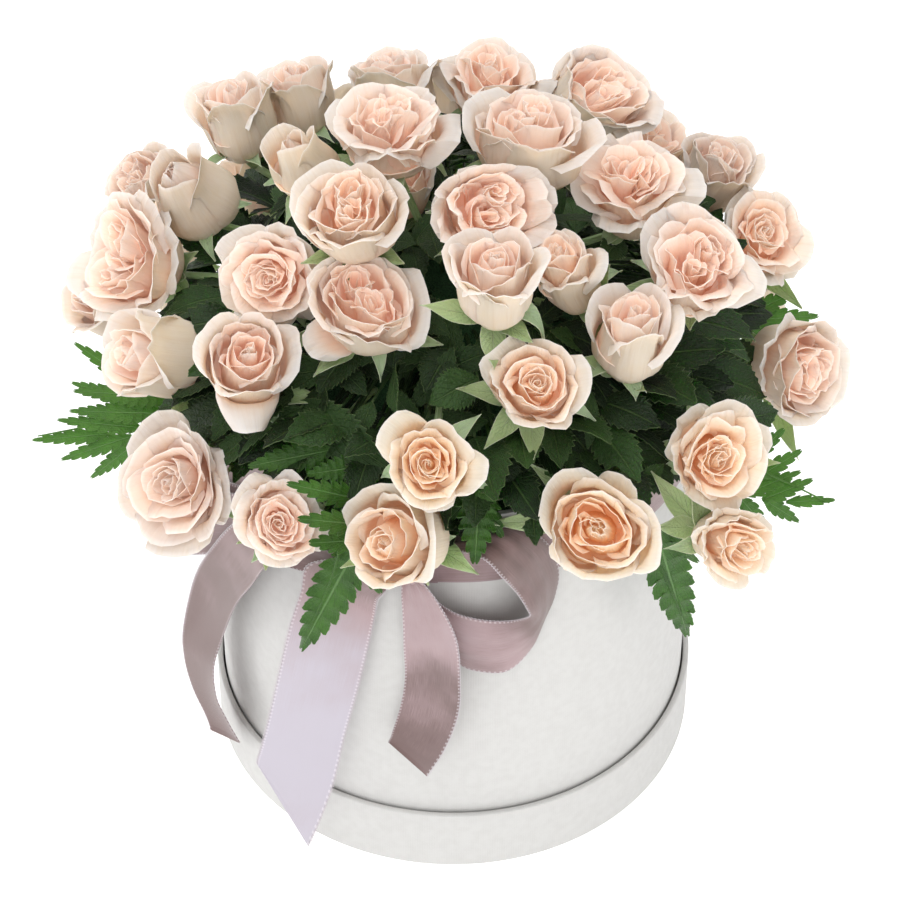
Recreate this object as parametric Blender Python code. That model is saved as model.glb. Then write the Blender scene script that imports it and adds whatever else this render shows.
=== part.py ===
"""A round hat box of spray roses: an off-white box standing in its own lid, a satin bow and a dome of blooms.

Metres, +Z up. The origin is the middle of the lid's underside, and the viewer of the photograph stands at -Y.
Everything that the photograph shows is placed by the pixel it is seen at, on a line of sight from the viewer.
"""

import math
from dataclasses import dataclass

import bmesh
import bpy
from mathutils import Vector

# Driving dimensions of the box and its lid
LID_RADIUS = 0.110
LID_HEIGHT = 0.0335
WALL_RADIUS = 0.1065
WALL_TOP = 0.215
BOARD = 0.0025
CLEARANCE = 0.0003
ROUND_SIDES = 48

# Liner and foam
FILM = 0.0006
FOAM_SPLIT = 0.105
FOAM_SHOULDER = 0.212
CROWN_RADIUS = 0.088
CROWN_TOP = 0.262
CROWN_STEPS = 5

# Ribbon
RIBBON_THICKNESS = 0.0005
BAND_LOW = 0.178
BAND_HIGH = 0.213
KNOT_CENTRE = Vector((-0.0190, -0.1126, 0.1930))
KNOT_HALF = Vector((0.0085, 0.0062, 0.0120))

# Dome of blooms
DOME_CENTRE = Vector((0.0, 0.0, 0.1645))
BLOOM_SHELL = 0.150
LOWEST_BLOOM = 0.209
BLOOM_SIDES = 8
# A bloom's outline from calyx to heart: height as a share of its depth, radius as a share of half its width
BLOOM_OUTLINE = ((-0.46, 0.16), (-0.26, 0.66), (0.02, 0.94), (0.30, 0.96), (0.50, 0.55))
CALYX_FOOT = 0.56

# Stems
STEM_RADIUS = 0.0021
STEM_DEPTH_IN_FOAM = 0.020
STEM_FREE = 0.002
CROWN_SPREAD = 0.60
SOCKET_PLAY = 0.0004
BRANCH_RADIUS = 0.0017
FORK_SHARE = 0.3
RIM_CLEARANCE = 0.0075

# Fern
FROND_THICKNESS = 0.0010
FROND_STALK = 0.0014
FROND_STALK_SHARE = 0.25
FROND_TAPER = 0.12

# Colours
BOARD_COLOUR = (0.86, 0.84, 0.81)
FILM_COLOUR = (0.85, 0.88, 0.86)
FOAM_COLOUR = (0.12, 0.27, 0.12)
MAUVE = (0.55, 0.44, 0.45)
PALE_MAUVE = (0.78, 0.75, 0.82)
PETAL_COLOUR = (0.90, 0.70, 0.58)
LEAF_COLOUR = (0.10, 0.28, 0.08)

# The viewpoint of the photograph, from the ellipses of the lid and the wall
PICTURE_CENTRE = (450.0, 450.0)
FOCAL_PIXELS = 3384.0
VIEW_TARGET = Vector((-0.0014, 0.0, 0.1531))
VIEW_DISTANCE = 1.5
VIEW_ELEVATION = math.radians(43.0)
TO_VIEWER = Vector((0.0, -math.cos(VIEW_ELEVATION), math.sin(VIEW_ELEVATION)))
PICTURE_UP = Vector((0.0, math.sin(VIEW_ELEVATION), math.cos(VIEW_ELEVATION)))
VIEWER = VIEW_TARGET + TO_VIEWER * VIEW_DISTANCE


@dataclass(frozen=True)
class Rose:
    """A bloom on its cut stem: the pixel of its middle, its width and depth, how far it stands proud of the
    dome's shell, and how much further down the line of sight it sits behind its neighbour."""

    number: int
    seen_at: tuple[float, float]
    across: float
    deep: float
    lift: float = 0.0
    behind: float = 0.0

    @property
    def name(self):
        return f"rose_{self.number:02d}"


ROSES = (
    Rose(1, (397, 74), 0.040, 0.034),
    Rose(2, (494, 72), 0.044, 0.034),
    Rose(3, (598, 98), 0.048, 0.036),
    Rose(4, (305, 102), 0.036, 0.036, behind=0.012),
    Rose(5, (233, 121), 0.040, 0.038),
    Rose(6, (395, 126), 0.054, 0.036, lift=0.012),
    Rose(7, (532, 130), 0.056, 0.038, lift=0.010),
    Rose(8, (300, 168), 0.030, 0.036, lift=0.008),
    Rose(9, (147, 183), 0.034, 0.032, behind=0.012),
    Rose(10, (198, 192), 0.036, 0.040, lift=0.010),
    Rose(11, (412, 184), 0.028, 0.028, lift=-0.029),
    Rose(12, (350, 212), 0.046, 0.038, lift=0.016),
    Rose(13, (491, 214), 0.051, 0.036, lift=-0.002),
    Rose(14, (635, 190), 0.057, 0.038, lift=0.002),
    Rose(15, (655, 135), 0.036, 0.032, behind=0.026),
    Rose(16, (722, 178), 0.036, 0.034, behind=0.010),
    Rose(17, (131, 260), 0.050, 0.038, lift=0.016),
    Rose(18, (90, 298), 0.034, 0.030, behind=0.004),
    Rose(19, (278, 280), 0.047, 0.034, lift=-0.006),
    Rose(20, (368, 309), 0.048, 0.032, lift=-0.008),
    Rose(21, (496, 285), 0.041, 0.036, lift=0.020),
    Rose(22, (566, 276), 0.033, 0.036, lift=-0.006),
    Rose(23, (700, 268), 0.049, 0.036, lift=0.014),
    Rose(24, (762, 243), 0.040, 0.034, lift=-0.006),
    Rose(25, (632, 338), 0.038, 0.040),
    Rose(26, (535, 387), 0.043, 0.036),
    Rose(27, (155, 355), 0.036, 0.046, lift=0.004),
    Rose(28, (247, 372), 0.042, 0.040),
    Rose(29, (797, 367), 0.044, 0.038),
    Rose(30, (716, 455), 0.043, 0.036, lift=0.006),
    Rose(31, (433, 463), 0.042, 0.034, lift=0.014),
    Rose(32, (175, 483), 0.048, 0.036),
    Rose(33, (280, 519), 0.038, 0.032),
    Rose(34, (400, 537), 0.043, 0.036, lift=-0.002),
    Rose(35, (598, 523), 0.047, 0.036),
    Rose(36, (729, 542), 0.037, 0.036),
)


@dataclass(frozen=True)
class BackBloom:
    """A bloom behind the dome's skyline: its compass angle from +X, and its angle down from the top."""

    compass: float
    down: float
    across: float
    deep: float = 0.036


@dataclass(frozen=True)
class BackSpray:
    """Two blooms on one forked stem."""

    number: int
    upper: BackBloom
    lower: BackBloom

    @property
    def name(self):
        return f"back_spray_{self.number}"


BACK_SPRAYS = (
    BackSpray(1, BackBloom(48, 80, 0.042), BackBloom(30, 84, 0.040)),
    BackSpray(2, BackBloom(70, 60, 0.044), BackBloom(66, 79, 0.042)),
    BackSpray(3, BackBloom(91, 60, 0.044), BackBloom(84, 79, 0.042)),
    BackSpray(4, BackBloom(112, 62, 0.042), BackBloom(108, 79, 0.042)),
    BackSpray(5, BackBloom(128, 72, 0.042), BackBloom(149, 80, 0.038)),
)

# Each ribbon strip is a run of stations: pixel and forward distance of one edge, then of the other
RIGHT_LOOP = (
    ((422, 546), 0.1110, (422, 561), 0.1165),
    ((472, 530), 0.1110, (456, 550), 0.1270),
    ((516, 526), 0.1080, (484, 557), 0.1330),
    ((546, 543), 0.1050, (501, 577), 0.1323),
    ((559, 571), 0.1030, (514, 590), 0.1275),
    ((556, 598), 0.1035, (523, 603), 0.1270),
    ((546, 622), 0.1050, (524, 611), 0.1245),
    ((530, 650), 0.1070, (518, 617), 0.1195),
    ((508, 670), 0.1090, (504, 620), 0.1140),
    ((482, 671), 0.1100, (478, 618), 0.1130),
    ((460, 663), 0.1105, (457, 614), 0.1140),
    ((444, 640), 0.1110, (443, 605), 0.1140),
    ((428, 610), 0.1120, (421, 584), 0.1130),
)
LEFT_LOOP = (
    ((386, 553), 0.1094, (386, 574), 0.1094),
    ((352, 531), 0.1049, (352, 582), 0.1046),
    ((320, 517), 0.0983, (320, 573), 0.0978),
    ((290, 505), 0.0900, (290, 564), 0.0891),
    ((260, 497), 0.0785, (260, 557), 0.0769),
    ((232, 494), 0.0644, (230, 553), 0.0634),
    ((182, 496), 0.0450, (180, 555), 0.0455),
    ((156, 494), 0.0330, (154, 553), 0.0350),
    ((151, 480), 0.0230, (150, 540), 0.0250),
    ((166, 468), 0.0230, (165, 528), 0.0230),
    ((196, 466), 0.0360, (195, 526), 0.0360),
    ((232, 484), 0.0569, (231, 544), 0.0538),
    ((260, 490), 0.0740, (260, 551), 0.0724),
    ((290, 501), 0.0862, (290, 560), 0.0853),
    ((320, 513), 0.0948, (320, 569), 0.0943),
    ((352, 529), 0.1016, (352, 580), 0.1013),
    ((386, 551), 0.1074, (386, 572), 0.1074),
)
TAIL_CENTRE = (
    ((384, 574), 0.1146, (386, 590), 0.1152),
    ((350, 560), 0.1140, (382, 594), 0.1146),
    ((309, 565), 0.1110, (377, 600), 0.1110),
    ((301, 592), 0.1100, (374, 617), 0.1090),
    ((290, 626), 0.1100, (368, 645), 0.1080),
    ((279, 674), 0.1100, (357, 690), 0.1080),
    ((268, 722), 0.1110, (344, 737), 0.1090),
    ((257, 763), 0.1130, (332, 786), 0.1130),
    ((282, 804), 0.1160, (321, 814), 0.1160),
    ((304, 843), 0.1180, (308, 845), 0.1180),
)
TAIL_RIGHT = (
    ((400, 589), 0.1170, (421, 591), 0.1180),
    ((402, 608), 0.1140, (437, 610), 0.1230),
    ((404, 640), 0.1115, (455, 641), 0.1290),
    ((405, 674), 0.1105, (460, 675), 0.1280),
    ((399, 711), 0.1105, (459, 711), 0.1263),
    ((389, 741), 0.1110, (449, 744), 0.1265),
    ((408, 758), 0.1120, (437, 764), 0.1200),
    ((425, 774), 0.1150, (428, 774), 0.1160),
)
TAIL_LEFT = (
    ((386, 566), 0.1130, (386, 580), 0.1135),
    ((332, 552), 0.1055, (336, 578), 0.1070),
    ((278, 530), 0.0900, (300, 570), 0.0990),
    ((242, 520), 0.0770, (268, 566), 0.0970),
    ((212, 549), 0.0610, (251, 586), 0.0850),
    ((194, 580), 0.0450, (236, 606), 0.0718),
    ((183, 628), 0.0350, (222, 640), 0.0583),
    ((185, 657), 0.0345, (213, 668), 0.0590),
    ((192, 684), 0.0380, (213, 690), 0.0622),
    ((205, 710), 0.0450, (224, 714), 0.0688),
    ((219, 732), 0.0560, (232, 730), 0.0620),
    ((238, 742), 0.0640, (240, 742), 0.0650),
)


@dataclass(frozen=True)
class Fern:
    """A frond: the points its rib passes, each a pixel and a forward distance, and its widest half-width."""

    name: str
    rib: tuple[tuple[tuple[float, float], float], ...]
    half_width: float


FERNS = (
    Fern(
        "fern_left",
        (((197, 376), 0.0260), ((150, 418), 0.0330), ((92, 426), 0.0300), ((38, 436), 0.0280)),
        0.012,
    ),
    Fern(
        "fern_front",
        (
            ((356, 470), 0.1000),
            ((346, 520), 0.1200),
            ((336, 565), 0.1280),
            ((322, 602), 0.1290),
            ((304, 638), 0.1260),
        ),
        0.008,
    ),
    Fern(
        "fern_low_right",
        (((628, 500), 0.0980), ((652, 548), 0.0980), ((672, 592), 0.0960), ((688, 630), 0.0850)),
        0.009,
    ),
    Fern(
        "fern_right",
        (((712, 415), 0.0420), ((762, 468), 0.0700), ((795, 486), 0.0680), ((829, 503), 0.0660)),
        0.011,
    ),
)
BACK_FERN_COMPASS = 96.0
BACK_FERN_HALF_WIDTH = 0.0075
# Distance from the axis and height of the back frond's rib
BACK_FERN = ((0.112, 0.2195), (0.145, 0.206), (0.182, 0.190))


def sight_line(pixel):
    """The direction from the viewer through a pixel of the photograph."""
    across = Vector((1.0, 0.0, 0.0)) * (pixel[0] - PICTURE_CENTRE[0])
    down = PICTURE_UP * (pixel[1] - PICTURE_CENTRE[1])
    return (across - down - TO_VIEWER * FOCAL_PIXELS).normalized()


def seen_forward(pixel, forward):
    """The point seen at a pixel that lies this far forward of the box's axis, towards the viewer."""
    ray = sight_line(pixel)
    return VIEWER + ray * ((-forward - VIEWER.y) / ray.y)


def seen_at_height(pixel, height):
    """The point seen at a pixel that lies at this height."""
    ray = sight_line(pixel)
    return VIEWER + ray * ((height - VIEWER.z) / ray.z)


def seen_on_dome(pixel, lift, behind):
    """The middle of a bloom seen at a pixel: on the dome's shell, and never lower than its lowest bloom."""
    ray = sight_line(pixel)
    along = (DOME_CENTRE - VIEWER).dot(ray)
    miss = (DOME_CENTRE - VIEWER - ray * along).length
    depth = math.sqrt(max(0.0, (BLOOM_SHELL + lift) ** 2 - miss**2))
    point = VIEWER + ray * (along - depth + behind)
    return point if point.z > LOWEST_BLOOM else seen_at_height(pixel, LOWEST_BLOOM)


def on_dome(bloom):
    """The middle and the facing of a bloom given by its angles."""
    compass = math.radians(bloom.compass)
    down = math.radians(bloom.down)
    flat = math.sin(down)
    facing = Vector((flat * math.cos(compass), flat * math.sin(compass), math.cos(down)))
    return DOME_CENTRE + facing * BLOOM_SHELL, facing


def smooth_run(points, steps):
    """Points of a Catmull-Rom curve through the given ones, with this many steps between each two."""
    padded = [points[0] * 2 - points[1], *points, points[-1] * 2 - points[-2]]
    run = []
    for index in range(len(points) - 1):
        before, start, end, after = padded[index : index + 4]
        for step in range(steps):
            t = step / steps
            run.append(
                0.5
                * (
                    start * 2
                    + (end - before) * t
                    + (before * 2 - start * 5 + end * 4 - after) * t**2
                    + (start * 3 - before - end * 3 + after) * t**3
                )
            )
    run.append(points[-1].copy())
    return run


def add_object(name, bm):
    """A new object of this name, with the bmesh's shape."""
    mesh = bpy.data.meshes.new(name)
    bm.to_mesh(mesh)
    bm.free()
    obj = bpy.data.objects.new(name, mesh)
    bpy.context.scene.collection.objects.link(obj)
    return obj


def dress(obj, colour, roughness, smooth=True):
    """Gives the object its own Principled material."""
    material = bpy.data.materials.new(f"{obj.name}_finish")
    material.use_nodes = True
    shader = material.node_tree.nodes["Principled BSDF"]
    shader.inputs["Base Color"].default_value = (*colour, 1.0)
    shader.inputs["Roughness"].default_value = roughness
    shader.inputs["Metallic"].default_value = 0.0
    obj.data.materials.append(material)
    if smooth:
        obj.data.shade_smooth()
        obj.data.set_sharp_from_angle(angle=math.radians(40))
    return obj


def turned(name, profile, closed):
    """Spins a profile of (radius, height) round the vertical axis; a closed one is joined end to end."""
    bm = bmesh.new()
    verts = [bm.verts.new((radius, 0.0, height)) for radius, height in profile]
    pairs = list(zip(verts, verts[1:]))
    if closed:
        pairs.append((verts[-1], verts[0]))
    edges = [bm.edges.new(pair) for pair in pairs]
    bmesh.ops.spin(
        bm,
        geom=verts + edges,
        cent=(0, 0, 0),
        axis=(0, 0, 1),
        angle=math.tau,
        steps=ROUND_SIDES,
        use_merge=True,
    )
    bmesh.ops.remove_doubles(bm, verts=bm.verts, dist=1e-6)
    bmesh.ops.recalc_face_normals(bm, faces=bm.faces)
    return add_object(name, bm)


def tube(name, inner, outer, low, high):
    """An upright ring of this wall."""
    return turned(name, ((inner, low), (outer, low), (outer, high), (inner, high)), True)


def disc(name, radius, low, high):
    """A flat round disc between two heights."""
    return turned(name, ((0, low), (radius, low), (radius, high), (0, high)), False)


def ring_round(bm, centre, along, radius, sides):
    """A ring of vertices round a point, square to a direction."""
    upright = abs(along.normalized().z) > 0.95
    first = along.orthogonal().normalized() if upright else along.cross((0, 0, 1)).normalized()
    second = along.cross(first).normalized()
    ring = []
    for index in range(sides):
        angle = math.tau * index / sides
        ring.append(bm.verts.new(centre + (first * math.cos(angle) + second * math.sin(angle)) * radius))
    return ring


def best_shift(lower, upper):
    """How far to turn one ring's count so that its vertices lie nearest the other ring's."""
    count = len(lower)

    def misfit(shift):
        return sum((lower[i].co - upper[(i + shift) % count].co).length for i in range(count))

    return min(range(count), key=misfit)


def turned_along(stations, sides):
    """A closed solid with a round section at each station: a point, a direction and a radius."""
    bm = bmesh.new()
    rings = [ring_round(bm, centre, along, radius, sides) for centre, along, radius in stations]
    for lower, upper in zip(rings, rings[1:]):
        start = best_shift(lower, upper)
        for i in range(sides):
            j = (i + 1) % sides
            bm.faces.new((lower[i], lower[j], upper[(j + start) % sides], upper[(i + start) % sides]))
    bm.faces.new(rings[0][::-1])
    bm.faces.new(rings[-1])
    bmesh.ops.recalc_face_normals(bm, faces=bm.faces)
    return bm


def crown_ball():
    """The radius of the ball that the foam's crown is cut from."""
    rise = CROWN_TOP - FOAM_SHOULDER
    return (CROWN_RADIUS**2 + rise**2) / (2 * rise)


def crown_point(facing, depth):
    """A point on the foam's crown below a bloom that faces this way, and the crown's direction there."""
    radius = crown_ball()
    centre = Vector((0, 0, CROWN_TOP - radius))
    flat = math.hypot(facing.x, facing.y)
    down = math.atan2(flat, facing.z) * CROWN_SPREAD
    outward = Vector((facing.x / flat * math.sin(down), facing.y / flat * math.sin(down), math.cos(down)))
    return centre + outward * (radius - depth), outward


def over_rim(base):
    """The point just above the box's rim that a stem passes on its way to a bloom's base."""
    point = Vector((base.x, base.y, 0)) * (WALL_RADIUS / math.hypot(base.x, base.y))
    point.z = WALL_TOP + RIM_CLEARANCE
    return point


def halfway(first, second):
    """The direction halfway between two."""
    return first.normalized().lerp(second.normalized(), 0.5).normalized()


def stem_stations(base, facing):
    """The stem's stations: from its cut end in the foam, over the box's rim, to the bloom's base."""
    inner, outward = crown_point(facing, STEM_DEPTH_IN_FOAM)
    mouth, _ = crown_point(facing, -STEM_FREE)
    stations = [(inner, outward, STEM_RADIUS), (mouth, outward, STEM_RADIUS)]
    last = mouth
    if base.z < WALL_TOP + 2 * RIM_CLEARANCE and math.hypot(base.x, base.y) > WALL_RADIUS:
        last = over_rim(base)
        stations.append((last, halfway(last - mouth, base - last), STEM_RADIUS))
    stations.append((base, halfway(base - last, facing), STEM_RADIUS))
    return stations


def bloom_base(centre, facing, deep):
    """Where the stem meets the calyx."""
    return centre - facing * (deep * CALYX_FOOT)


def bloom_stations(centre, facing, across, deep):
    """The bloom's own outline: calyx, swell, widest ring and the closed heart."""
    half = across / 2
    return [(centre + facing * (deep * height), facing, half * share) for height, share in BLOOM_OUTLINE]


def bloom_solid(centre, facing, across, deep):
    """Stem and bloom in one closed solid."""
    stations = stem_stations(bloom_base(centre, facing, deep), facing)
    stations += bloom_stations(centre, facing, across, deep)
    return turned_along(stations, BLOOM_SIDES)


def rose_place(rose):
    """The middle and the facing of a rose."""
    centre = seen_on_dome(rose.seen_at, rose.lift, rose.behind)
    return centre, (centre - DOME_CENTRE).normalized()


def build_box():
    """Wall, base disc, and the lid's rim and top disc that they stand on."""
    inner = WALL_RADIUS - BOARD
    foot = BOARD + CLEARANCE
    rim_inner = LID_RADIUS - BOARD
    for piece in (
        tube("box_wall", inner, WALL_RADIUS, foot, WALL_TOP),
        disc("box_base", inner - CLEARANCE, foot, foot + BOARD),
        tube("lid_rim", rim_inner, LID_RADIUS, 0.0, LID_HEIGHT),
        disc("lid_top", rim_inner - CLEARANCE, 0.0, BOARD),
    ):
        dress(piece, BOARD_COLOUR, 0.75)


def build_filling():
    """Film liner and the two discs of foam, the upper one crowned and pierced for the stems."""
    floor = 2 * (BOARD + CLEARANCE)
    outer = WALL_RADIUS - BOARD - CLEARANCE
    inner = outer - FILM
    profile = (
        (0, floor),
        (outer, floor),
        (outer, BAND_HIGH),
        (inner, BAND_HIGH),
        (inner, floor + FILM),
        (0, floor + FILM),
    )
    dress(turned("film_liner", profile, False), FILM_COLOUR, 0.2)
    foam_radius = inner - CLEARANCE
    low = floor + FILM + CLEARANCE
    dress(disc("foam_lower", foam_radius, low, FOAM_SPLIT), FOAM_COLOUR, 0.95)
    bottom = FOAM_SPLIT + CLEARANCE
    ball = crown_ball()
    edge = math.asin(CROWN_RADIUS / ball)
    angles = [edge * (1 - step / CROWN_STEPS) for step in range(CROWN_STEPS)]
    arc = [(ball * math.sin(angle), CROWN_TOP - ball + ball * math.cos(angle)) for angle in angles]
    profile = [(0, bottom), (foam_radius, bottom), (foam_radius, FOAM_SHOULDER), *arc, (0, CROWN_TOP)]
    return dress(turned("foam_upper", profile, False), FOAM_COLOUR, 0.95)


def pierce(foam, facings):
    """Cuts a blind socket into the foam under each stem."""
    bm = bmesh.new()
    for facing in facings:
        bottom, outward = crown_point(facing, STEM_DEPTH_IN_FOAM + SOCKET_PLAY)
        mouth, _ = crown_point(facing, -2 * STEM_FREE)
        radius = STEM_RADIUS + SOCKET_PLAY
        part = turned_along([(bottom, outward, radius), (mouth, outward, radius)], BLOOM_SIDES)
        mesh = bpy.data.meshes.new("socket")
        part.to_mesh(mesh)
        part.free()
        bm.from_mesh(mesh)
        bpy.data.meshes.remove(mesh)
    cutter = add_object("stem_sockets_cutter", bm)
    cutter.hide_render = True
    cutter.display_type = "WIRE"
    cut = foam.modifiers.new("stem sockets", "BOOLEAN")
    cut.operation = "DIFFERENCE"
    cut.solver = "EXACT"
    cut.object = cutter


def build_roses():
    """The roses that the photograph shows. Returns the way each one faces."""
    facings = []
    for rose in ROSES:
        centre, facing = rose_place(rose)
        facings.append(facing)
        solid = add_object(rose.name, bloom_solid(centre, facing, rose.across, rose.deep))
        dress(solid, PETAL_COLOUR, 0.6)
    return facings


def build_back_sprays():
    """The sprays behind the dome, each a forked stem with two blooms. Returns the way each stem goes."""
    facings = []
    for spray in BACK_SPRAYS:
        centre, facing = on_dome(spray.upper)
        facings.append(facing)
        obj = add_object(spray.name, bloom_solid(centre, facing, spray.upper.across, spray.upper.deep))
        stem = [point for point, _, _ in stem_stations(bloom_base(centre, facing, spray.upper.deep), facing)]
        fork = stem[2] if len(stem) > 3 else stem[1].lerp(stem[2], FORK_SHARE)
        lower, lower_facing = on_dome(spray.lower)
        base = bloom_base(lower, lower_facing, spray.lower.deep)
        bend = over_rim(base)
        stations = [
            (fork, bend - fork, BRANCH_RADIUS),
            (bend, halfway(bend - fork, base - bend), BRANCH_RADIUS),
            (base, halfway(base - bend, lower_facing), BRANCH_RADIUS),
        ]
        stations += bloom_stations(lower, lower_facing, spray.lower.across, spray.lower.deep)
        branch = add_object(f"{spray.name}_branch_guide", turned_along(stations, BLOOM_SIDES))
        branch.hide_render = True
        branch.display_type = "WIRE"
        join = obj.modifiers.new("branch", "BOOLEAN")
        join.operation = "UNION"
        join.solver = "EXACT"
        join.object = branch
        dress(obj, PETAL_COLOUR, 0.6)
    return facings


def strip(name, stations, steps):
    """A ribbon strip through its stations, as a sheet thickened to the ribbon."""
    first = smooth_run([seen_forward(pixel, forward) for pixel, forward, _, _ in stations], steps)
    second = smooth_run([seen_forward(pixel, forward) for _, _, pixel, forward in stations], steps)
    bm = bmesh.new()
    rows = [(bm.verts.new(a), bm.verts.new(b)) for a, b in zip(first, second)]
    for (a, b), (c, d) in zip(rows, rows[1:]):
        bm.faces.new((a, b, d, c))
    obj = add_object(name, bm)
    thick = obj.modifiers.new("ribbon thickness", "SOLIDIFY")
    thick.thickness = RIBBON_THICKNESS
    thick.offset = 0.0
    return obj


def build_ribbon():
    """Band, knot, loops and tails."""
    low = WALL_RADIUS + CLEARANCE
    dress(tube("ribbon_band", low, low + RIBBON_THICKNESS, BAND_LOW, BAND_HIGH), MAUVE, 0.35)
    bm = bmesh.new()
    bmesh.ops.create_uvsphere(bm, u_segments=12, v_segments=8, radius=1.0)
    for vert in bm.verts:
        vert.co = KNOT_CENTRE + Vector(c * h for c, h in zip(vert.co, KNOT_HALF))
    dress(add_object("bow_knot", bm), MAUVE, 0.35)
    for name, stations, colour in (
        ("bow_loop_right", RIGHT_LOOP, MAUVE),
        ("bow_loop_left", LEFT_LOOP, MAUVE),
        ("ribbon_tail_centre", TAIL_CENTRE, PALE_MAUVE),
        ("ribbon_tail_right", TAIL_RIGHT, MAUVE),
        ("ribbon_tail_left", TAIL_LEFT, MAUVE),
    ):
        dress(strip(name, stations, 2), colour, 0.35)


def frond_stations(points, half_width):
    """Stations of a frond along its rib: point, direction and half-width."""
    run = smooth_run(points, 2)
    count = len(run) - 1
    stations = []
    for index, point in enumerate(run):
        along = (run[min(index + 1, count)] - run[max(index - 1, 0)]).normalized()
        share = index / count
        swell = math.sin(math.pi * (FROND_TAPER + (1 - 1.2 * FROND_TAPER) * share)) ** 0.8
        width = half_width * swell if share > FROND_STALK_SHARE else FROND_STALK
        stations.append((point, along, max(FROND_STALK, width)))
    return stations


def frond(name, points, half_width):
    """A fern frond: a thin leaf with a four-sided section along its rib."""
    bm = bmesh.new()
    rings = []
    for point, along, width in frond_stations(points, half_width):
        side = along.cross((0, 0, 1)).normalized() * width
        rise = side.cross(along).normalized() * FROND_THICKNESS
        rings.append([bm.verts.new(point + offset) for offset in (side, rise, -side, -rise)])
    for lower, upper in zip(rings, rings[1:]):
        for i in range(4):
            j = (i + 1) % 4
            bm.faces.new((lower[i], lower[j], upper[j], upper[i]))
    bm.faces.new(rings[0][::-1])
    bm.faces.new(rings[-1])
    bmesh.ops.recalc_face_normals(bm, faces=bm.faces)
    return dress(add_object(name, bm), LEAF_COLOUR, 0.55)


def rooted(points):
    """A frond's rib with its root, which rests on the foam's crown."""
    root, _ = crown_point((points[0] - DOME_CENTRE).normalized(), -FROND_THICKNESS - CLEARANCE)
    return [root, *points]


def build_ferns():
    """The four fronds that show, and one behind."""
    for fern in FERNS:
        points = [seen_forward(pixel, forward) for pixel, forward in fern.rib]
        frond(fern.name, rooted(points), fern.half_width)
    compass = math.radians(BACK_FERN_COMPASS)
    out = Vector((math.cos(compass), math.sin(compass), 0))
    points = [out * reach + Vector((0, 0, height)) for reach, height in BACK_FERN]
    frond("fern_back", rooted(points), BACK_FERN_HALF_WIDTH)


def main():
    for obj in list(bpy.data.objects):
        bpy.data.objects.remove(obj, do_unlink=True)
    build_box()
    foam = build_filling()
    facings = build_roses() + build_back_sprays()
    pierce(foam, facings)
    build_ribbon()
    build_ferns()


if __name__ == "__main__":
    main()
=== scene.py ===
"""The looks of a round hat box of spray roses: linen-embossed board, a satin bow and a dome of peach blooms.

Metres, +Z up. The origin is the middle of the lid's underside, and the viewer of the photograph stands at -Y.
Blooms, ribbons and fern are placed by the pixel they are seen at, on a line of sight from that viewer.
"""

import logging
import math
from dataclasses import dataclass, field
from enum import Enum

import bpy
import numpy as np
from bpy.types import ID, Material, Node, NodeSocket, NodeTree, Object
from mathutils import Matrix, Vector

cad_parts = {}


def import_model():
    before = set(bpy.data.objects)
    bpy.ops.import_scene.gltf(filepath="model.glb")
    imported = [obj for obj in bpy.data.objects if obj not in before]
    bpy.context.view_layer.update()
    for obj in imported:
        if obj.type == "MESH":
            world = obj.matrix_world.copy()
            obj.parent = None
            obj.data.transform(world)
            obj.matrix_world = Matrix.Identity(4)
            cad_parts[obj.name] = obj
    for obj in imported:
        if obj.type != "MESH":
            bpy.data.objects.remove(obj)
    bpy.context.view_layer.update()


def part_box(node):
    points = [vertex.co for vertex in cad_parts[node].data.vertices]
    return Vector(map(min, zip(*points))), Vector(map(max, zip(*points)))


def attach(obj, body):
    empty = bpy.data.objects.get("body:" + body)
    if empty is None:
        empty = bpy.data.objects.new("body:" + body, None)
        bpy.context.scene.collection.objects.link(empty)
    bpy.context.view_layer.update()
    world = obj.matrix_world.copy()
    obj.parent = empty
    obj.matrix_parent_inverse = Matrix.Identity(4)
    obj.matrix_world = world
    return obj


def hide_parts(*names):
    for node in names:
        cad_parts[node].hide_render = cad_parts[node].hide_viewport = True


LOG = logging.getLogger("flower_box")
GOLDEN_TURN = math.radians(137.508)
TINY = 1e-12
SEEDS = 1000
UPWARD = Vector((0.0, 0.0, 1.0))
ACROSS = Vector((1.0, 0.0, 0.0))

Track = tuple[tuple[float, float], ...]
Pixel = tuple[float, float]
Span = tuple[float, float]
Triple = tuple[float, float, float]
Colour = tuple[float, float, float]
Value = NodeSocket | float
Paint = NodeSocket | Colour


# Measures
@dataclass(frozen=True)
class Viewpoint:
    """The viewpoint of the photograph, which everything seen in it is placed by."""

    centre: Pixel = (450.0, 450.0)
    focal_pixels: float = 3384.0
    frame_pixels: float = 900.0
    target: Triple = (-0.0014, 0.0, 0.1531)
    distance: float = 1.5
    elevation: float = math.radians(43.0)

    @property
    def to_viewer(self) -> Vector:
        """The direction from the target to the viewer."""
        return Vector((0.0, -math.cos(self.elevation), math.sin(self.elevation)))

    @property
    def picture_up(self) -> Vector:
        """The direction that is up in the picture."""
        return Vector((0.0, math.sin(self.elevation), math.cos(self.elevation)))

    @property
    def eye(self) -> Vector:
        """Where the viewer stands."""
        return Vector(self.target) + self.to_viewer * self.distance

    def ray(self, pixel: Pixel) -> Vector:
        """The direction from the viewer through a pixel.

        Args:
            pixel: Where the point is seen.

        Returns:
            The direction, one unit long.
        """
        across = ACROSS * (pixel[0] - self.centre[0])
        down = self.picture_up * (pixel[1] - self.centre[1])
        return (across - down - self.to_viewer * self.focal_pixels).normalized()

    def at_forward(self, pixel: Pixel, forward: float) -> Vector:
        """The point seen at a pixel that lies this far forward of the box's axis."""
        ray = self.ray(pixel)
        return self.eye + ray * ((-forward - self.eye.y) / ray.y)

    def at_height(self, pixel: Pixel, height: float) -> Vector:
        """The point seen at a pixel that lies at this height."""
        ray = self.ray(pixel)
        return self.eye + ray * ((height - self.eye.z) / ray.z)


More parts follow.
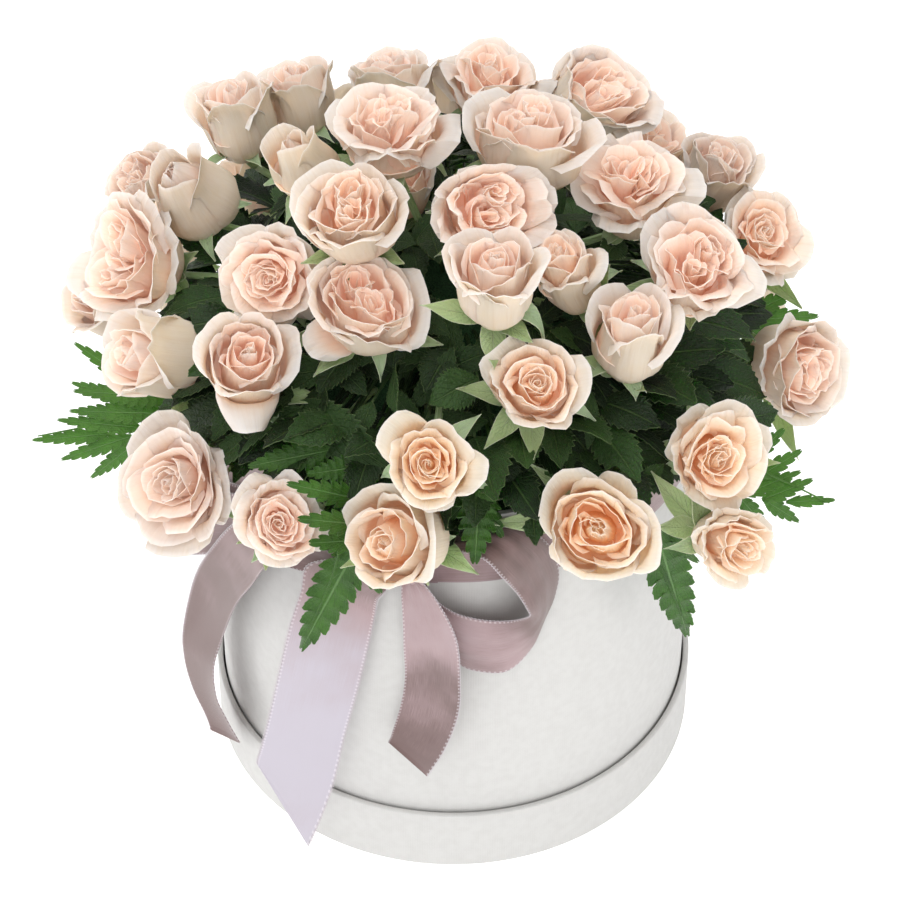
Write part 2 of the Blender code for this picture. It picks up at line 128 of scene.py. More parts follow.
@dataclass(frozen=True)
class Dome:
    """The dome of blooms and the crown of foam below it, as the CAD model has them."""

    centre: Triple = (0.0, 0.0, 0.1645)
    shell: float = 0.150
    lowest: float = 0.209
    crown_radius: float = 0.088
    crown_top: float = 0.262
    shoulder: float = 0.212
    spread: float = 0.60
    wall_radius: float = 0.1065
    wall_top: float = 0.215
    rim_clearance: float = 0.0075
    stem_depth: float = 0.020
    stem_free: float = 0.002

    def seen_on(self, view: Viewpoint, pixel: Pixel, lift: float, behind: float = 0.0) -> Vector:
        """The middle of a bloom or the end of a leaf that is seen at a pixel.

        Args:
            view: The photograph's viewpoint.
            pixel: Where it is seen.
            lift: How far it stands proud of the dome's shell.
            behind: How much further down the line of sight it sits.

        Returns:
            The point, never lower than the lowest bloom.
        """
        ray = view.ray(pixel)
        along = (Vector(self.centre) - view.eye).dot(ray)
        miss = (Vector(self.centre) - view.eye - ray * along).length
        depth = math.sqrt(max(0.0, (self.shell + lift) ** 2 - miss**2))
        point = view.eye + ray * (along - depth + behind)
        return point if point.z > self.lowest else view.at_height(pixel, self.lowest)

    def outward(self, point: Vector) -> Vector:
        """The direction from the dome's centre to a point."""
        return (point - Vector(self.centre)).normalized()

    def by_angles(self, compass: float, down: float) -> tuple[Vector, Vector]:
        """The middle and the facing of a bloom, from its compass angle and its angle down from the top.

        Args:
            compass: The angle round the dome, in degrees from +X.
            down: The angle from the top, in degrees.

        Returns:
            The bloom's middle and its facing.
        """
        turn, drop = math.radians(compass), math.radians(down)
        facing = Vector((math.sin(drop) * math.cos(turn), math.sin(drop) * math.sin(turn), math.cos(drop)))
        return Vector(self.centre) + facing * self.shell, facing

    def crown_point(self, facing: Vector, depth: float) -> Vector:
        """The point this deep in the foam's crown below a bloom that faces this way.

        Args:
            facing: The way the bloom faces.
            depth: How deep in the foam the point is.

        Returns:
            The point.
        """
        rise = self.crown_top - self.shoulder
        ball = (self.crown_radius**2 + rise**2) / (2 * rise)
        flat = max(1e-6, math.hypot(facing.x, facing.y))
        down = math.atan2(flat, facing.z) * self.spread
        sideways = math.sin(down) / flat
        outward = Vector((facing.x * sideways, facing.y * sideways, math.cos(down)))
        return Vector((0, 0, self.crown_top - ball)) + outward * (ball - depth)

    def over_rim(self, base: Vector) -> Vector:
        """The point just above the box's rim that a stem passes on its way to a bloom's base."""
        share = self.wall_radius / math.hypot(base.x, base.y)
        return Vector((base.x * share, base.y * share, self.wall_top + self.rim_clearance))

    def stem_route(self, base: Vector, facing: Vector) -> list[Vector]:
        """The points that a stem passes from its cut end in the foam to a bloom's base.

        Args:
            base: Where the bloom's base is.
            facing: The way the bloom faces.

        Returns:
            Its cut end, where it leaves the foam, a point over the rim where it needs one, and the base.
        """
        route = [self.crown_point(facing, self.stem_depth), self.crown_point(facing, -self.stem_free)]
        low = base.z < self.wall_top + 2 * self.rim_clearance
        if low and math.hypot(base.x, base.y) > self.wall_radius:
            route.append(self.over_rim(base))
        return [*route, base]


def read_track(track: Track, shares: np.ndarray | float) -> np.ndarray | float:
    """The values of a track of (share, value) stops at one share or at several."""
    return np.interp(shares, *zip(*track))


def ease(values: np.ndarray) -> np.ndarray:
    """Smoothstep of values held between 0 and 1."""
    held = np.clip(values, 0.0, 1.0)
    return held * held * (3 - 2 * held)


def smooth_run(points: list[Vector], steps: int) -> np.ndarray:
    """Points of a Catmull-Rom curve through the given ones, with this many steps between each two.

    Args:
        points: The points that it passes.
        steps: How many steps there are between each two.

    Returns:
        The curve's points, as rows.
    """
    padded = [points[0] * 2 - points[1], *points, points[-1] * 2 - points[-2]]
    run = []
    for index in range(len(points) - 1):
        before, start, end, after = padded[index : index + 4]
        for step in range(steps):
            t = step / steps
            cubic = (start * 3 - before - end * 3 + after) * t**3
            square = (before * 2 - start * 5 + end * 4 - after) * t**2
            run.append(0.5 * (start * 2 + (end - before) * t + square + cubic))
    return np.array([*run, points[-1]])


def running_sum(steps: np.ndarray) -> np.ndarray:
    """The sums of an array's rows so far, from a row of zeros."""
    return np.concatenate([np.zeros((1, *steps.shape[1:])), np.cumsum(steps, axis=0)])


def distances(line: np.ndarray) -> np.ndarray:
    """How far along a polyline each of its points lies."""
    return running_sum(np.linalg.norm(np.diff(line, axis=0), axis=1))


def resample(rows: np.ndarray, stops: np.ndarray, wanted: np.ndarray) -> np.ndarray:
    """Rows of three values read at the wanted places between their own stops."""
    return np.stack([np.interp(wanted, stops, rows[:, axis]) for axis in range(3)], axis=1)


def even_run(points: np.ndarray | list[Vector], count: int) -> np.ndarray:
    """This many points at even distances along a polyline.

    Args:
        points: The polyline's points.
        count: How many points there are.

    Returns:
        The points, as rows.
    """
    line = np.array(points)
    stops = distances(line)
    return resample(line, stops, np.linspace(0.0, stops[-1], count))


def unit_rows(vectors: np.ndarray) -> np.ndarray:
    """An array's vectors, each made one unit long."""
    return vectors / np.maximum(np.linalg.norm(vectors, axis=-1, keepdims=True), TINY)


def surface_normals(grid: np.ndarray) -> np.ndarray:
    """The directions square to a grid of points."""
    return unit_rows(np.cross(np.gradient(grid, axis=1), np.gradient(grid, axis=0)))


def profile(turned: np.ndarray, step: np.ndarray | float) -> tuple[np.ndarray, np.ndarray]:
    """How far out and how high each row of a sheet lies, from its turn off the upright in radians."""
    return running_sum(np.sin(turned[:-1]) * step), running_sum(np.cos(turned[:-1]) * step)


# Mesh making
class PieceMesh:
    """Collects thin closed sheets and tubes into the mesh of one piece."""

    no_corner = -1

    def __init__(self, *attributes: str) -> None:
        """Starts an empty piece whose points carry these values and the side of a sheet that they are on.

        Args:
            *attributes: The names of the values.
        """
        self.points: list[np.ndarray] = []
        self.quads: list[np.ndarray] = []
        self.uvs: list[np.ndarray] = []
        self.values: dict[str, list[np.ndarray]] = {name: [] for name in ("inside", *attributes)}
        self.count = 0

    def _keep(self, points: np.ndarray, quads: np.ndarray, uvs: np.ndarray, values: dict) -> None:
        """Adds points and quads, with their UVs and values. A triangle is a quad without its last corner.

        Args:
            points: The points.
            quads: The faces, as numbers of these points.
            uvs: The UV of each point.
            values: The value of each point, by its name.
        """
        self.points.append(points)
        self.quads.append(np.where(quads < 0, self.no_corner, quads + self.count))
        self.uvs.append(uvs)
        for name, kept in self.values.items():
            kept.append(np.broadcast_to(values.get(name, 0.0), (len(points),)))
        self.count += len(points)

    def add_sheet(
        self,
        grid: np.ndarray,
        thickness: np.ndarray | float,
        places: tuple[np.ndarray, np.ndarray] | None = None,
        **values: np.ndarray | float,
    ) -> None:
        """Adds a closed thin sheet.

        Args:
            grid: The middle surface, rows along and columns across, each a point.
            thickness: The sheet's thickness, for all of it or for each point.
            places: How far across each column and along each row lies, from 0 to 1, where they aren't even.
            **values: Named values of its points. `inside` is set here: 0 in front and 1 behind.
        """
        rows, columns = grid.shape[:2]
        half = surface_normals(grid) * np.broadcast_to(np.asarray(thickness) / 2, (rows, columns))[..., None]
        points = np.concatenate([(grid + half).reshape(-1, 3), (grid - half).reshape(-1, 3)])
        index = np.arange(rows * columns).reshape(rows, columns)
        behind = index + rows * columns
        a, b, c, d = index[:-1, :-1], index[:-1, 1:], index[1:, 1:], index[1:, :-1]
        quads = [np.stack([a, b, c, d], -1).reshape(-1, 4)]
        quads.append(np.stack([a, d, c, b], -1).reshape(-1, 4) + rows * columns)
        for near, far in (
            (behind[0], index[0]),
            (index[-1], behind[-1]),
            (index[:, 0], behind[:, 0]),
            (behind[:, -1], index[:, -1]),
        ):
            quads.append(np.stack([near[:-1], near[1:], far[1:], far[:-1]], -1))
        across, along = places or (np.linspace(0, 1, columns), np.linspace(0, 1, rows))
        uv = np.stack(np.meshgrid(across, along), -1).reshape(-1, 2)
        laid = {name: np.broadcast_to(value, (2, rows, columns)).ravel() for name, value in values.items()}
        laid["inside"] = np.repeat([0.0, 1.0], rows * columns)
        self._keep(points, np.concatenate(quads), np.concatenate([uv, uv]), laid)

    def add_tube(self, route: np.ndarray, radii: np.ndarray, sides: int, **values: float) -> None:
        """Adds a closed round tube along a route, with a radius at each of its points.

        Args:
            route: Its middle line.
            radii: Its radius at each point of the route.
            sides: How many sides it has.
            **values: Named values of its points.
        """
        count = len(route)
        along = unit_rows(np.gradient(route, axis=0))
        side = np.cross(along[0], (0.3, 0.2, 1.0) if abs(along[0][2]) < 0.9 else (1.0, 0.2, 0.1))
        angle = np.linspace(0, math.tau, sides, endpoint=False)[:, None]
        rings = []
        for place, direction, radius in zip(route, along, radii):
            side = side - direction * np.dot(side, direction)
            side /= np.linalg.norm(side)
            rings.append(place + (side * np.cos(angle) + np.cross(direction, side) * np.sin(angle)) * radius)
        index = np.arange(count * sides).reshape(count, sides)
        turned = np.roll(index, -1, axis=1)
        foot, tip = count * sides, count * sides + 1
        walls = np.stack([index[:-1], turned[:-1], turned[1:], index[1:]], -1).reshape(-1, 4)
        ends = [[foot, turned[0, i], index[0, i], self.no_corner] for i in range(sides)]
        ends += [[tip, index[-1, i], turned[-1, i], self.no_corner] for i in range(sides)]
        u = np.concatenate([np.tile(np.linspace(0, 1, sides), count), [0.5, 0.5]])
        v = np.concatenate([np.linspace(0, 1, count).repeat(sides), [0.0, 1.0]])
        points = np.concatenate([*rings, route[:1], route[-1:]])
        self._keep(points, np.concatenate([walls, ends]), np.stack([u, v], -1), values)

    def build(self, name: str, material: Material, sharp: float) -> Object:
        """Makes the piece's object.

        Args:
            name: The piece's name.
            material: Its material.
            sharp: The angle in degrees from which an edge stays sharp.

        Returns:
            The new object, at the origin.
        """
        points, faces = np.concatenate(self.points), np.concatenate(self.quads)
        sizes = np.where(faces[:, 3] < 0, 3, 4)
        corners = faces[faces >= 0]
        mesh = bpy.data.meshes.new(name)
        mesh.vertices.add(len(points))
        mesh.vertices.foreach_set("co", points.astype(np.float32).ravel())
        mesh.loops.add(len(corners))
        mesh.loops.foreach_set("vertex_index", corners.astype(np.int32))
        mesh.polygons.add(len(faces))
        mesh.polygons.foreach_set("loop_start", running_sum(sizes)[:-1].astype(np.int32))
        mesh.update(calc_edges=True)
        uv = mesh.uv_layers.new(name="surface")
        uv.data.foreach_set("uv", np.concatenate(self.uvs)[corners].astype(np.float32).ravel())
        for attribute, values in self.values.items():
            layer = mesh.attributes.new(attribute, "FLOAT", "POINT")
            layer.data.foreach_set("value", np.concatenate(values).astype(np.float32))
        mesh.validate()
        mesh.shade_smooth()
        mesh.set_sharp_from_angle(angle=math.radians(sharp))
        mesh.materials.append(material)
        piece = bpy.data.objects.new(name, mesh)
        bpy.context.scene.collection.objects.link(piece)
        return piece


def hand_over(piece: Object, node: str | None = None) -> None:
    """Has a piece ride the body and stand for its CAD node, where it has one.

    Args:
        piece: The piece.
        node: The CAD node that it stands for.
    """
    if node:
        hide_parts(node)
    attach(piece, "root")


# Finishes
class Nodes:
    """Short ways to add and join nodes of one tree."""

    def __init__(self, tree: NodeTree) -> None:
        """Works on this tree."""
        self.tree = tree

    def fill(self, node: Node, inputs: dict) -> Node:
        """Sets or links a node's inputs.

        Args:
            node: The node.
            inputs: What each input is set to, or the socket that it is linked from.

        Returns:
            The node.
        """
        for name, value in inputs.items():
            if isinstance(value, NodeSocket):
                self.tree.links.new(value, node.inputs[name])
            else:
                node.inputs[name].default_value = value
        return node

    def add(self, kind: str, inputs: dict | None = None, **settings) -> Node:
        """Adds a shader node, sets its settings, and sets or links its inputs.

        Args:
            kind: The kind of shader node.
            inputs: What its inputs are set to or linked from.
            **settings: Its own settings.

        Returns:
            The node.
        """
        node = self.tree.nodes.new(f"ShaderNode{kind}")
        for name, value in settings.items():
            setattr(node, name, value)
        return self.fill(node, inputs or {})

    def uv(self) -> NodeSocket:
        """The piece's own UV."""
        return self.add("UVMap", uv_map="surface").outputs[0]

    def place(self) -> NodeSocket:
        """The Object coordinates."""
        return self.add("TexCoord").outputs["Object"]

    def parts(self, vector: NodeSocket) -> list[NodeSocket]:
        """A vector's three parts."""
        return list(self.add("SeparateXYZ", {0: vector}).outputs)

    def attribute(self, name: str) -> NodeSocket:
        """The named value of the piece's points."""
        return self.add("Attribute", attribute_name=name).outputs["Fac"]

    def noise(self, vector: NodeSocket, scale: Value, detail: float) -> NodeSocket:
        """A noise's value."""
        return self.add("TexNoise", {"Vector": vector, "Scale": scale, "Detail": detail}).outputs[0]

    def math(self, operation: str, first: Value, second: Value = 0.0, third: Value = 0.0) -> NodeSocket:
        """A math node's result."""
        return self.add("Math", {0: first, 1: second, 2: third}, operation=operation).outputs[0]

    def times(self, first: Value, second: Value) -> NodeSocket:
        """Two values multiplied."""
        return self.math("MULTIPLY", first, second)

    def away(self, value: Value, middle: float) -> NodeSocket:
        """How far a value is from a middle one."""
        return self.math("ABSOLUTE", self.math("SUBTRACT", value, middle))

    def clamp(self, value: Value) -> NodeSocket:
        """A value held between 0 and 1."""
        return self.add("Clamp", {0: value}).outputs[0]

    def blend(self, share: Value, first: Paint, second: Paint, mode: str = "MIX") -> NodeSocket:
        """A colour mixed from two by a share.

        Args:
            share: The share of the second colour.
            first: The first colour.
            second: The second colour.
            mode: How the second lies over the first.

        Returns:
            The mixed colour.
        """
        node = self.add("Mix", {0: share}, data_type="RGBA", blend_type=mode)
        colours = {6: first, 7: second}
        solid = {socket: (*value, 1.0) for socket, value in colours.items() if isinstance(value, tuple)}
        return self.fill(node, {**colours, **solid}).outputs[2]

    def stretch(
        self, value: Value, low: float, high: float, to_low: float = 0.0, to_high: float = 1.0
    ) -> NodeSocket:
        """A value read from one range into another, held at its ends."""
        inputs = {0: value, 1: low, 2: high, 3: to_low, 4: to_high}
        return self.add("MapRange", inputs, interpolation_type="SMOOTHSTEP").outputs[0]

    def bump(self, height: Value, distance: float, strength: float) -> NodeSocket:
        """The normal of a bumped surface."""
        return self.add("Bump", {"Height": height, "Distance": distance, "Strength": strength}).outputs[0]

    def group(self, tree: NodeTree, **inputs) -> Node:
        """A shared group with its inputs set or linked."""
        return self.add("Group", inputs, node_tree=tree)


class SharedEffects:
    """The node groups that more than one finish uses."""

    patch_span: Span = (0.35, 0.65)
    midrib_span: Span = (0.012, 0.04)
    side_vein_width: float = 0.10

    def __init__(self) -> None:
        """Builds each group once."""
        self.edge_band = self._edge_band()
        self.patches = self._patches()
        self.leaf_veins = self._leaf_veins()

    def _start(self, name: str, inputs: dict[str, float | None], outputs: tuple[str, ...]) -> tuple:
        """Starts a shader node group.

        Args:
            name: The group's name.
            inputs: Each input with its default, or None for a vector.
            outputs: The names of its value outputs.

        Returns:
            The tree, its Nodes, its inputs' sockets and its output node.
        """
        tree = bpy.data.node_groups.new(name, "ShaderNodeTree")
        for label, default in inputs.items():
            kind = "NodeSocketVector" if default is None else "NodeSocketFloat"
            socket = tree.interface.new_socket(label, in_out="INPUT", socket_type=kind)
            if default is not None:
                socket.default_value = default
        for label in outputs:
            tree.interface.new_socket(label, in_out="OUTPUT", socket_type="NodeSocketFloat")
        return tree, Nodes(tree), tree.nodes.new("NodeGroupInput").outputs, tree.nodes.new("NodeGroupOutput")

    def _edge_band(self) -> NodeTree:
        """1 along a sheet's sides and tip, 0 inside, from its UV.

        Returns:
            The group.
        """
        tree, nodes, given, out = self._start("edge band", {"Vector": None, "Width": 0.06}, ("Mask",))
        across, along, _ = nodes.parts(given["Vector"])
        reach = nodes.math("MAXIMUM", nodes.times(nodes.away(across, 0.5), 2.0), along)
        start = nodes.math("SUBTRACT", 1.0, given["Width"])
        share = nodes.math("DIVIDE", nodes.math("SUBTRACT", reach, start), given["Width"])
        nodes.fill(out, {"Mask": nodes.clamp(share)})
        return tree

    def _patches(self) -> NodeTree:
        """A slow uneven patch pattern on Object coordinates.

        Returns:
            The group.
        """
        inputs = {"Scale": 100.0, "Low": 0.0, "High": 1.0}
        tree, nodes, given, out = self._start("patches", inputs, ("Value",))
        noise = nodes.noise(nodes.place(), given["Scale"], 4.0)
        low, high = self.patch_span
        spread = nodes.add("MapRange", {0: noise, 1: low, 2: high, 3: given["Low"], 4: given["High"]})
        nodes.fill(out, {"Value": spread.outputs[0]})
        return tree

    def _leaf_veins(self) -> NodeTree:
        """A midrib and slanted side veins, from a leaf's UV.

        Returns:
            The group.
        """
        inputs = {"Vector": None, "Pairs": 7.0, "Slant": 0.5}
        tree, nodes, given, out = self._start("leaf veins", inputs, ("Midrib", "Side"))
        across, along, _ = nodes.parts(given["Vector"])
        side = nodes.away(across, 0.5)
        slanted = nodes.math("SUBTRACT", along, nodes.times(side, given["Slant"]))
        near = nodes.away(nodes.math("FRACT", nodes.times(slanted, given["Pairs"])), 0.5)
        midrib = nodes.stretch(side, *self.midrib_span, 1.0, 0.0)
        veins = nodes.stretch(near, 0.0, self.side_vein_width, 1.0, 0.0)
        nodes.fill(out, {"Midrib": midrib, "Side": veins})
        return tree

    def mottle(self, nodes: Nodes, scale: float, low: float, high: float) -> NodeSocket:
        """The patch pattern placed in a material."""
        return nodes.group(self.patches, Scale=scale, Low=low, High=high).outputs[0]

    def band(self, nodes: Nodes, uv: NodeSocket, width: float) -> NodeSocket:
        """The edge mask placed in a material."""
        return nodes.group(self.edge_band, Vector=uv, Width=width).outputs[0]


def new_material(name: str) -> tuple[Material, Nodes, Node]:
    """A new material, its Nodes, and its Principled shader.

    Args:
        name: The material's name.

    Returns:
        All three.
    """
    material = bpy.data.materials.new(name)
    material.use_nodes = True
    return material, Nodes(material.node_tree), material.node_tree.nodes["Principled BSDF"]


@dataclass(frozen=True)
class PetalFinish:
    """Soft petals: peach at the heart, cream towards the edge, with a thin bright rim that is partly a
    painted highlight, painted shade that darkens and dulls some blooms, a painted glow on the inner faces,
    and fine veins.
    """

    name: str = "rose_petal"
    heart_pink: Colour = (0.99, 0.76, 0.65)
    heart_apricot: Colour = (0.99, 0.73, 0.50)
    deep_pink: Colour = (0.98, 0.60, 0.48)
    deep_apricot: Colour = (0.99, 0.53, 0.28)
    blush: Colour = (0.94, 0.71, 0.58)
    cool_cream: Colour = (0.87, 0.765, 0.69)
    cream: Colour = (0.87, 0.74, 0.58)
    underside: Colour = (0.84, 0.69, 0.51)
    base_green: Colour = (0.62, 0.66, 0.38)
    # dusty: the beige of the painted shade that darkens and dulls whole blooms
    dull_shade_beige: Colour = (0.60, 0.45, 0.38)
    # rim: a paler edge colour, partly a painted highlight along the petal's rim
    rim: Colour = (1.0, 0.92, 0.84)
    dark: Colour = (0.0, 0.0, 0.0)
    roughness: float = 0.55
    specular: float = 0.18
    # glow: painted light, the strength of an emission in the heart colour that lights the crevices
    glow: float = 0.15
    rim_highlight_width: float = 0.05
    vein_height: float = 0.0003
    vein_strength: float = 0.8
    streak_share: float = 0.18
    crease_share: float = 3.5
    patch_scale: float = 160.0
    patch_share: float = 0.22
    dull_shade_share: float = 0.55
    depth_share: float = 0.65
    fan_scale: Triple = (38.0, 2.2, 1.0)
    fan_apart: float = 41.0
    light_depth: float = 0.003
    light_share: float = 0.45
    light_spread: Triple = (1.0, 0.75, 0.55)
    deep_span: Span = (0.35, 1.0)
    inward_span: Span = (0.02, 0.55)
    warm_span: Span = (0.60, 0.98)
    warm_share: float = 0.85
    cream_span: Span = (0.5, 0.95)
    green_until: float = 0.45
    rim_highlight_span: Span = (0.2, 0.9)
    rim_highlight_shares: Span = (0.75, 0.45)
    streak_span: Span = (0.45, 0.75)
    crease_span: Span = (0.5, 0.8)
    crease_scale: float = 0.22

    def make(self, shared: SharedEffects) -> Material:
        """Builds the material.

        Args:
            shared: The node groups that the finishes share.

        Returns:
            The material.
        """
        material, nodes, shader = new_material(self.name)
        uv = nodes.uv()
        along = nodes.parts(uv)[1]
        heart, inside, warmth, dust = map(nodes.attribute, ("heart", "inside", "warmth", "dust"))
        depth = nodes.stretch(along, *self.deep_span, 1.0, 0.0)
        inward = nodes.stretch(heart, *self.inward_span)
        share = nodes.math("MAXIMUM", inward, nodes.times(depth, self.depth_share))
        warm = nodes.blend(warmth, self.heart_pink, self.heart_apricot)
        deep = nodes.blend(warmth, self.deep_pink, self.deep_apricot)
        middle = nodes.blend(nodes.stretch(along, *self.warm_span, self.warm_share, 0.0), warm, deep)
        cream = nodes.blend(warmth, self.cool_cream, self.cream)
        open_face = nodes.blend(nodes.stretch(along, *self.cream_span), self.blush, cream)
        face = nodes.blend(share, open_face, middle)
        green = nodes.stretch(along, 0.0, self.green_until, 1.0, 0.0)
        under = nodes.blend(green, self.underside, self.base_green)
        colour = nodes.blend(inside, nodes.blend(inward, under, face), face)
        colour = nodes.blend(shared.mottle(nodes, self.patch_scale, 0.0, self.patch_share), colour, cream)
        # Painted shade: the whole bloom is darkened and dulled towards beige by its own share.
        colour = nodes.blend(nodes.times(dust, self.dull_shade_share), colour, self.dull_shade_beige)
        # Paler rim, partly a painted highlight: a thin band along each petal's sides and tip, stronger on the
        # outer petals.
        rim_highlight_share = nodes.stretch(heart, *self.rim_highlight_span, *self.rim_highlight_shares)
        rim = nodes.times(shared.band(nodes, uv, self.rim_highlight_width), rim_highlight_share)
        colour = nodes.blend(rim, colour, self.rim)
        streak, crease = self._fan(nodes, uv, heart)
        for pattern, span in ((streak, self.streak_span), (crease, self.crease_span)):
            tint = nodes.stretch(pattern, *span, 0.0, self.streak_share)
            colour = nodes.blend(tint, colour, self.underside, "MULTIPLY")
        height = nodes.math("ADD", streak, nodes.times(crease, self.crease_share))
        inputs = {
            "Base Color": colour,
            "Normal": nodes.bump(height, self.vein_height, self.vein_strength),
            "Roughness": self.roughness,
            "Specular IOR Level": self.specular,
            "Subsurface Weight": self.light_share,
            "Subsurface Scale": self.light_depth,
            "Subsurface Radius": self.light_spread,
            # Painted glow: the inner faces near the heart and the foot emit their middle colour, so the
            # crevices look lit through the petals.
            "Emission Color": nodes.blend(nodes.times(share, inside), self.dark, middle),
            "Emission Strength": self.glow,
        }
        nodes.fill(shader, inputs)
        return material

    def _fan(self, nodes: Nodes, uv: Value, heart: Value) -> tuple[Value, Value]:
        """Fine streaks and slow creases that run up a petal, different on each.

        Args:
            nodes: The material's nodes.
            uv: The petal's UV.
            heart: How near the heart the petal is.

        Returns:
            The streaks and the creases.
        """
        fan = nodes.add("Mapping", {"Vector": uv, "Scale": self.fan_scale}).outputs[0]
        apart = nodes.add("CombineXYZ", {2: nodes.times(heart, self.fan_apart)}).outputs[0]
        fan = nodes.add("VectorMath", {0: fan, 1: apart}, operation="ADD").outputs[0]
        return nodes.noise(fan, 1.0, 3.0), nodes.noise(fan, self.crease_scale, 2.0)


@dataclass(frozen=True)
class LeafFinish:
    """A leaf: a green face with paler veins and edge, and a lighter, duller back; the face runs from
    near-black to a young green, partly as painted shade for leaves deep in the dome.
    """

    name: str
    face: Colour
    young: Colour
    back: Colour
    vein: Colour
    edge: Colour
    edge_share: float
    vein_share: float
    pairs: float
    slant: float
    roughness: float
    bump: float = 0.0006
    bump_strength: float = 0.8
    patch_scale: float = 90.0
    patch_share: float = 0.35
    tone_share: float = 0.82
    pore_scale: float = 900.0
    pore_share: float = 0.35
    edge_width: float = 0.09
    duller: float = 0.1
    glossier: float = 0.08
    specular: float = 0.3
    light_share: float = 0.15
    light_depth: float = 0.002
    light_spread: Triple = (0.5, 1.0, 0.2)

    def make(self, shared: SharedEffects) -> Material:
        """Builds the material.

        Args:
            shared: The node groups that the finishes share.

        Returns:
            The material.
        """
        material, nodes, shader = new_material(self.name)
        uv = nodes.uv()
        mottle = shared.mottle(nodes, self.patch_scale, 0.0, 1.0)
        patch = nodes.times(mottle, self.patch_share)
        # Painted shade: a low value gives the near-black face of leaves deep in the dome, a high one the
        # paler young green.
        tone = nodes.math("MULTIPLY_ADD", nodes.attribute("tone"), self.tone_share, patch)
        in_front = nodes.math("SUBTRACT", 1.0, nodes.attribute("inside"))
        colour = nodes.blend(in_front, self.back, nodes.blend(tone, self.face, self.young))
        veins = nodes.group(shared.leaf_veins, Vector=uv, Pairs=self.pairs, Slant=self.slant).outputs
        lines = nodes.math("MAXIMUM", veins["Midrib"], nodes.times(veins["Side"], 0.5))
        colour = nodes.blend(nodes.times(lines, self.vein_share), colour, self.vein)
        band = shared.band(nodes, uv, self.edge_width)
        height = nodes.math("SUBTRACT", shared.mottle(nodes, self.pore_scale, 0.0, self.pore_share), lines)
        gloss = nodes.stretch(mottle, 0.0, 1.0, self.roughness - self.glossier, self.roughness + self.duller)
        inputs = {
            "Base Color": nodes.blend(nodes.times(band, self.edge_share), colour, self.edge),
            "Normal": nodes.bump(height, self.bump, self.bump_strength),
            "Roughness": gloss,
            "Specular IOR Level": self.specular,
            "Subsurface Weight": self.light_share,
            "Subsurface Scale": self.light_depth,
            "Subsurface Radius": self.light_spread,
        }
        nodes.fill(shader, inputs)
        return material


SEPAL_GREEN = LeafFinish(
    "sepal_green",
    face=(0.24, 0.37, 0.15),
    young=(0.42, 0.54, 0.28),
    back=(0.36, 0.48, 0.28),
    vein=(0.50, 0.60, 0.36),
    edge=(0.72, 0.76, 0.58),
    edge_share=0.55,
    vein_share=0.3,
    pairs=9.0,
    slant=0.6,
    roughness=0.5,
)
ROSE_LEAF = LeafFinish(
    "rose_leaf",
    # face: near-black green, the painted shade of leaves deep in the dome
    face=(0.002, 0.007, 0.002),
    young=(0.055, 0.125, 0.030),
    back=(0.036, 0.068, 0.024),
    vein=(0.100, 0.165, 0.055),
    edge=(0.150, 0.210, 0.090),
    edge_share=0.45,
    vein_share=0.40,
    pairs=7.0,
    slant=0.8,
    roughness=0.48,
    bump=0.0012,
    patch_share=0.16,
    edge_width=0.055,
)
FERN_LEAF = LeafFinish(
    "fern_leaf",
    face=(0.022, 0.066, 0.011),
    young=(0.082, 0.205, 0.030),
    back=(0.080, 0.160, 0.070),
    vein=(0.180, 0.320, 0.120),
    edge=(0.140, 0.280, 0.080),
    edge_share=0.2,
    vein_share=0.55,
    pairs=8.0,
    slant=0.9,
    roughness=0.45,
)


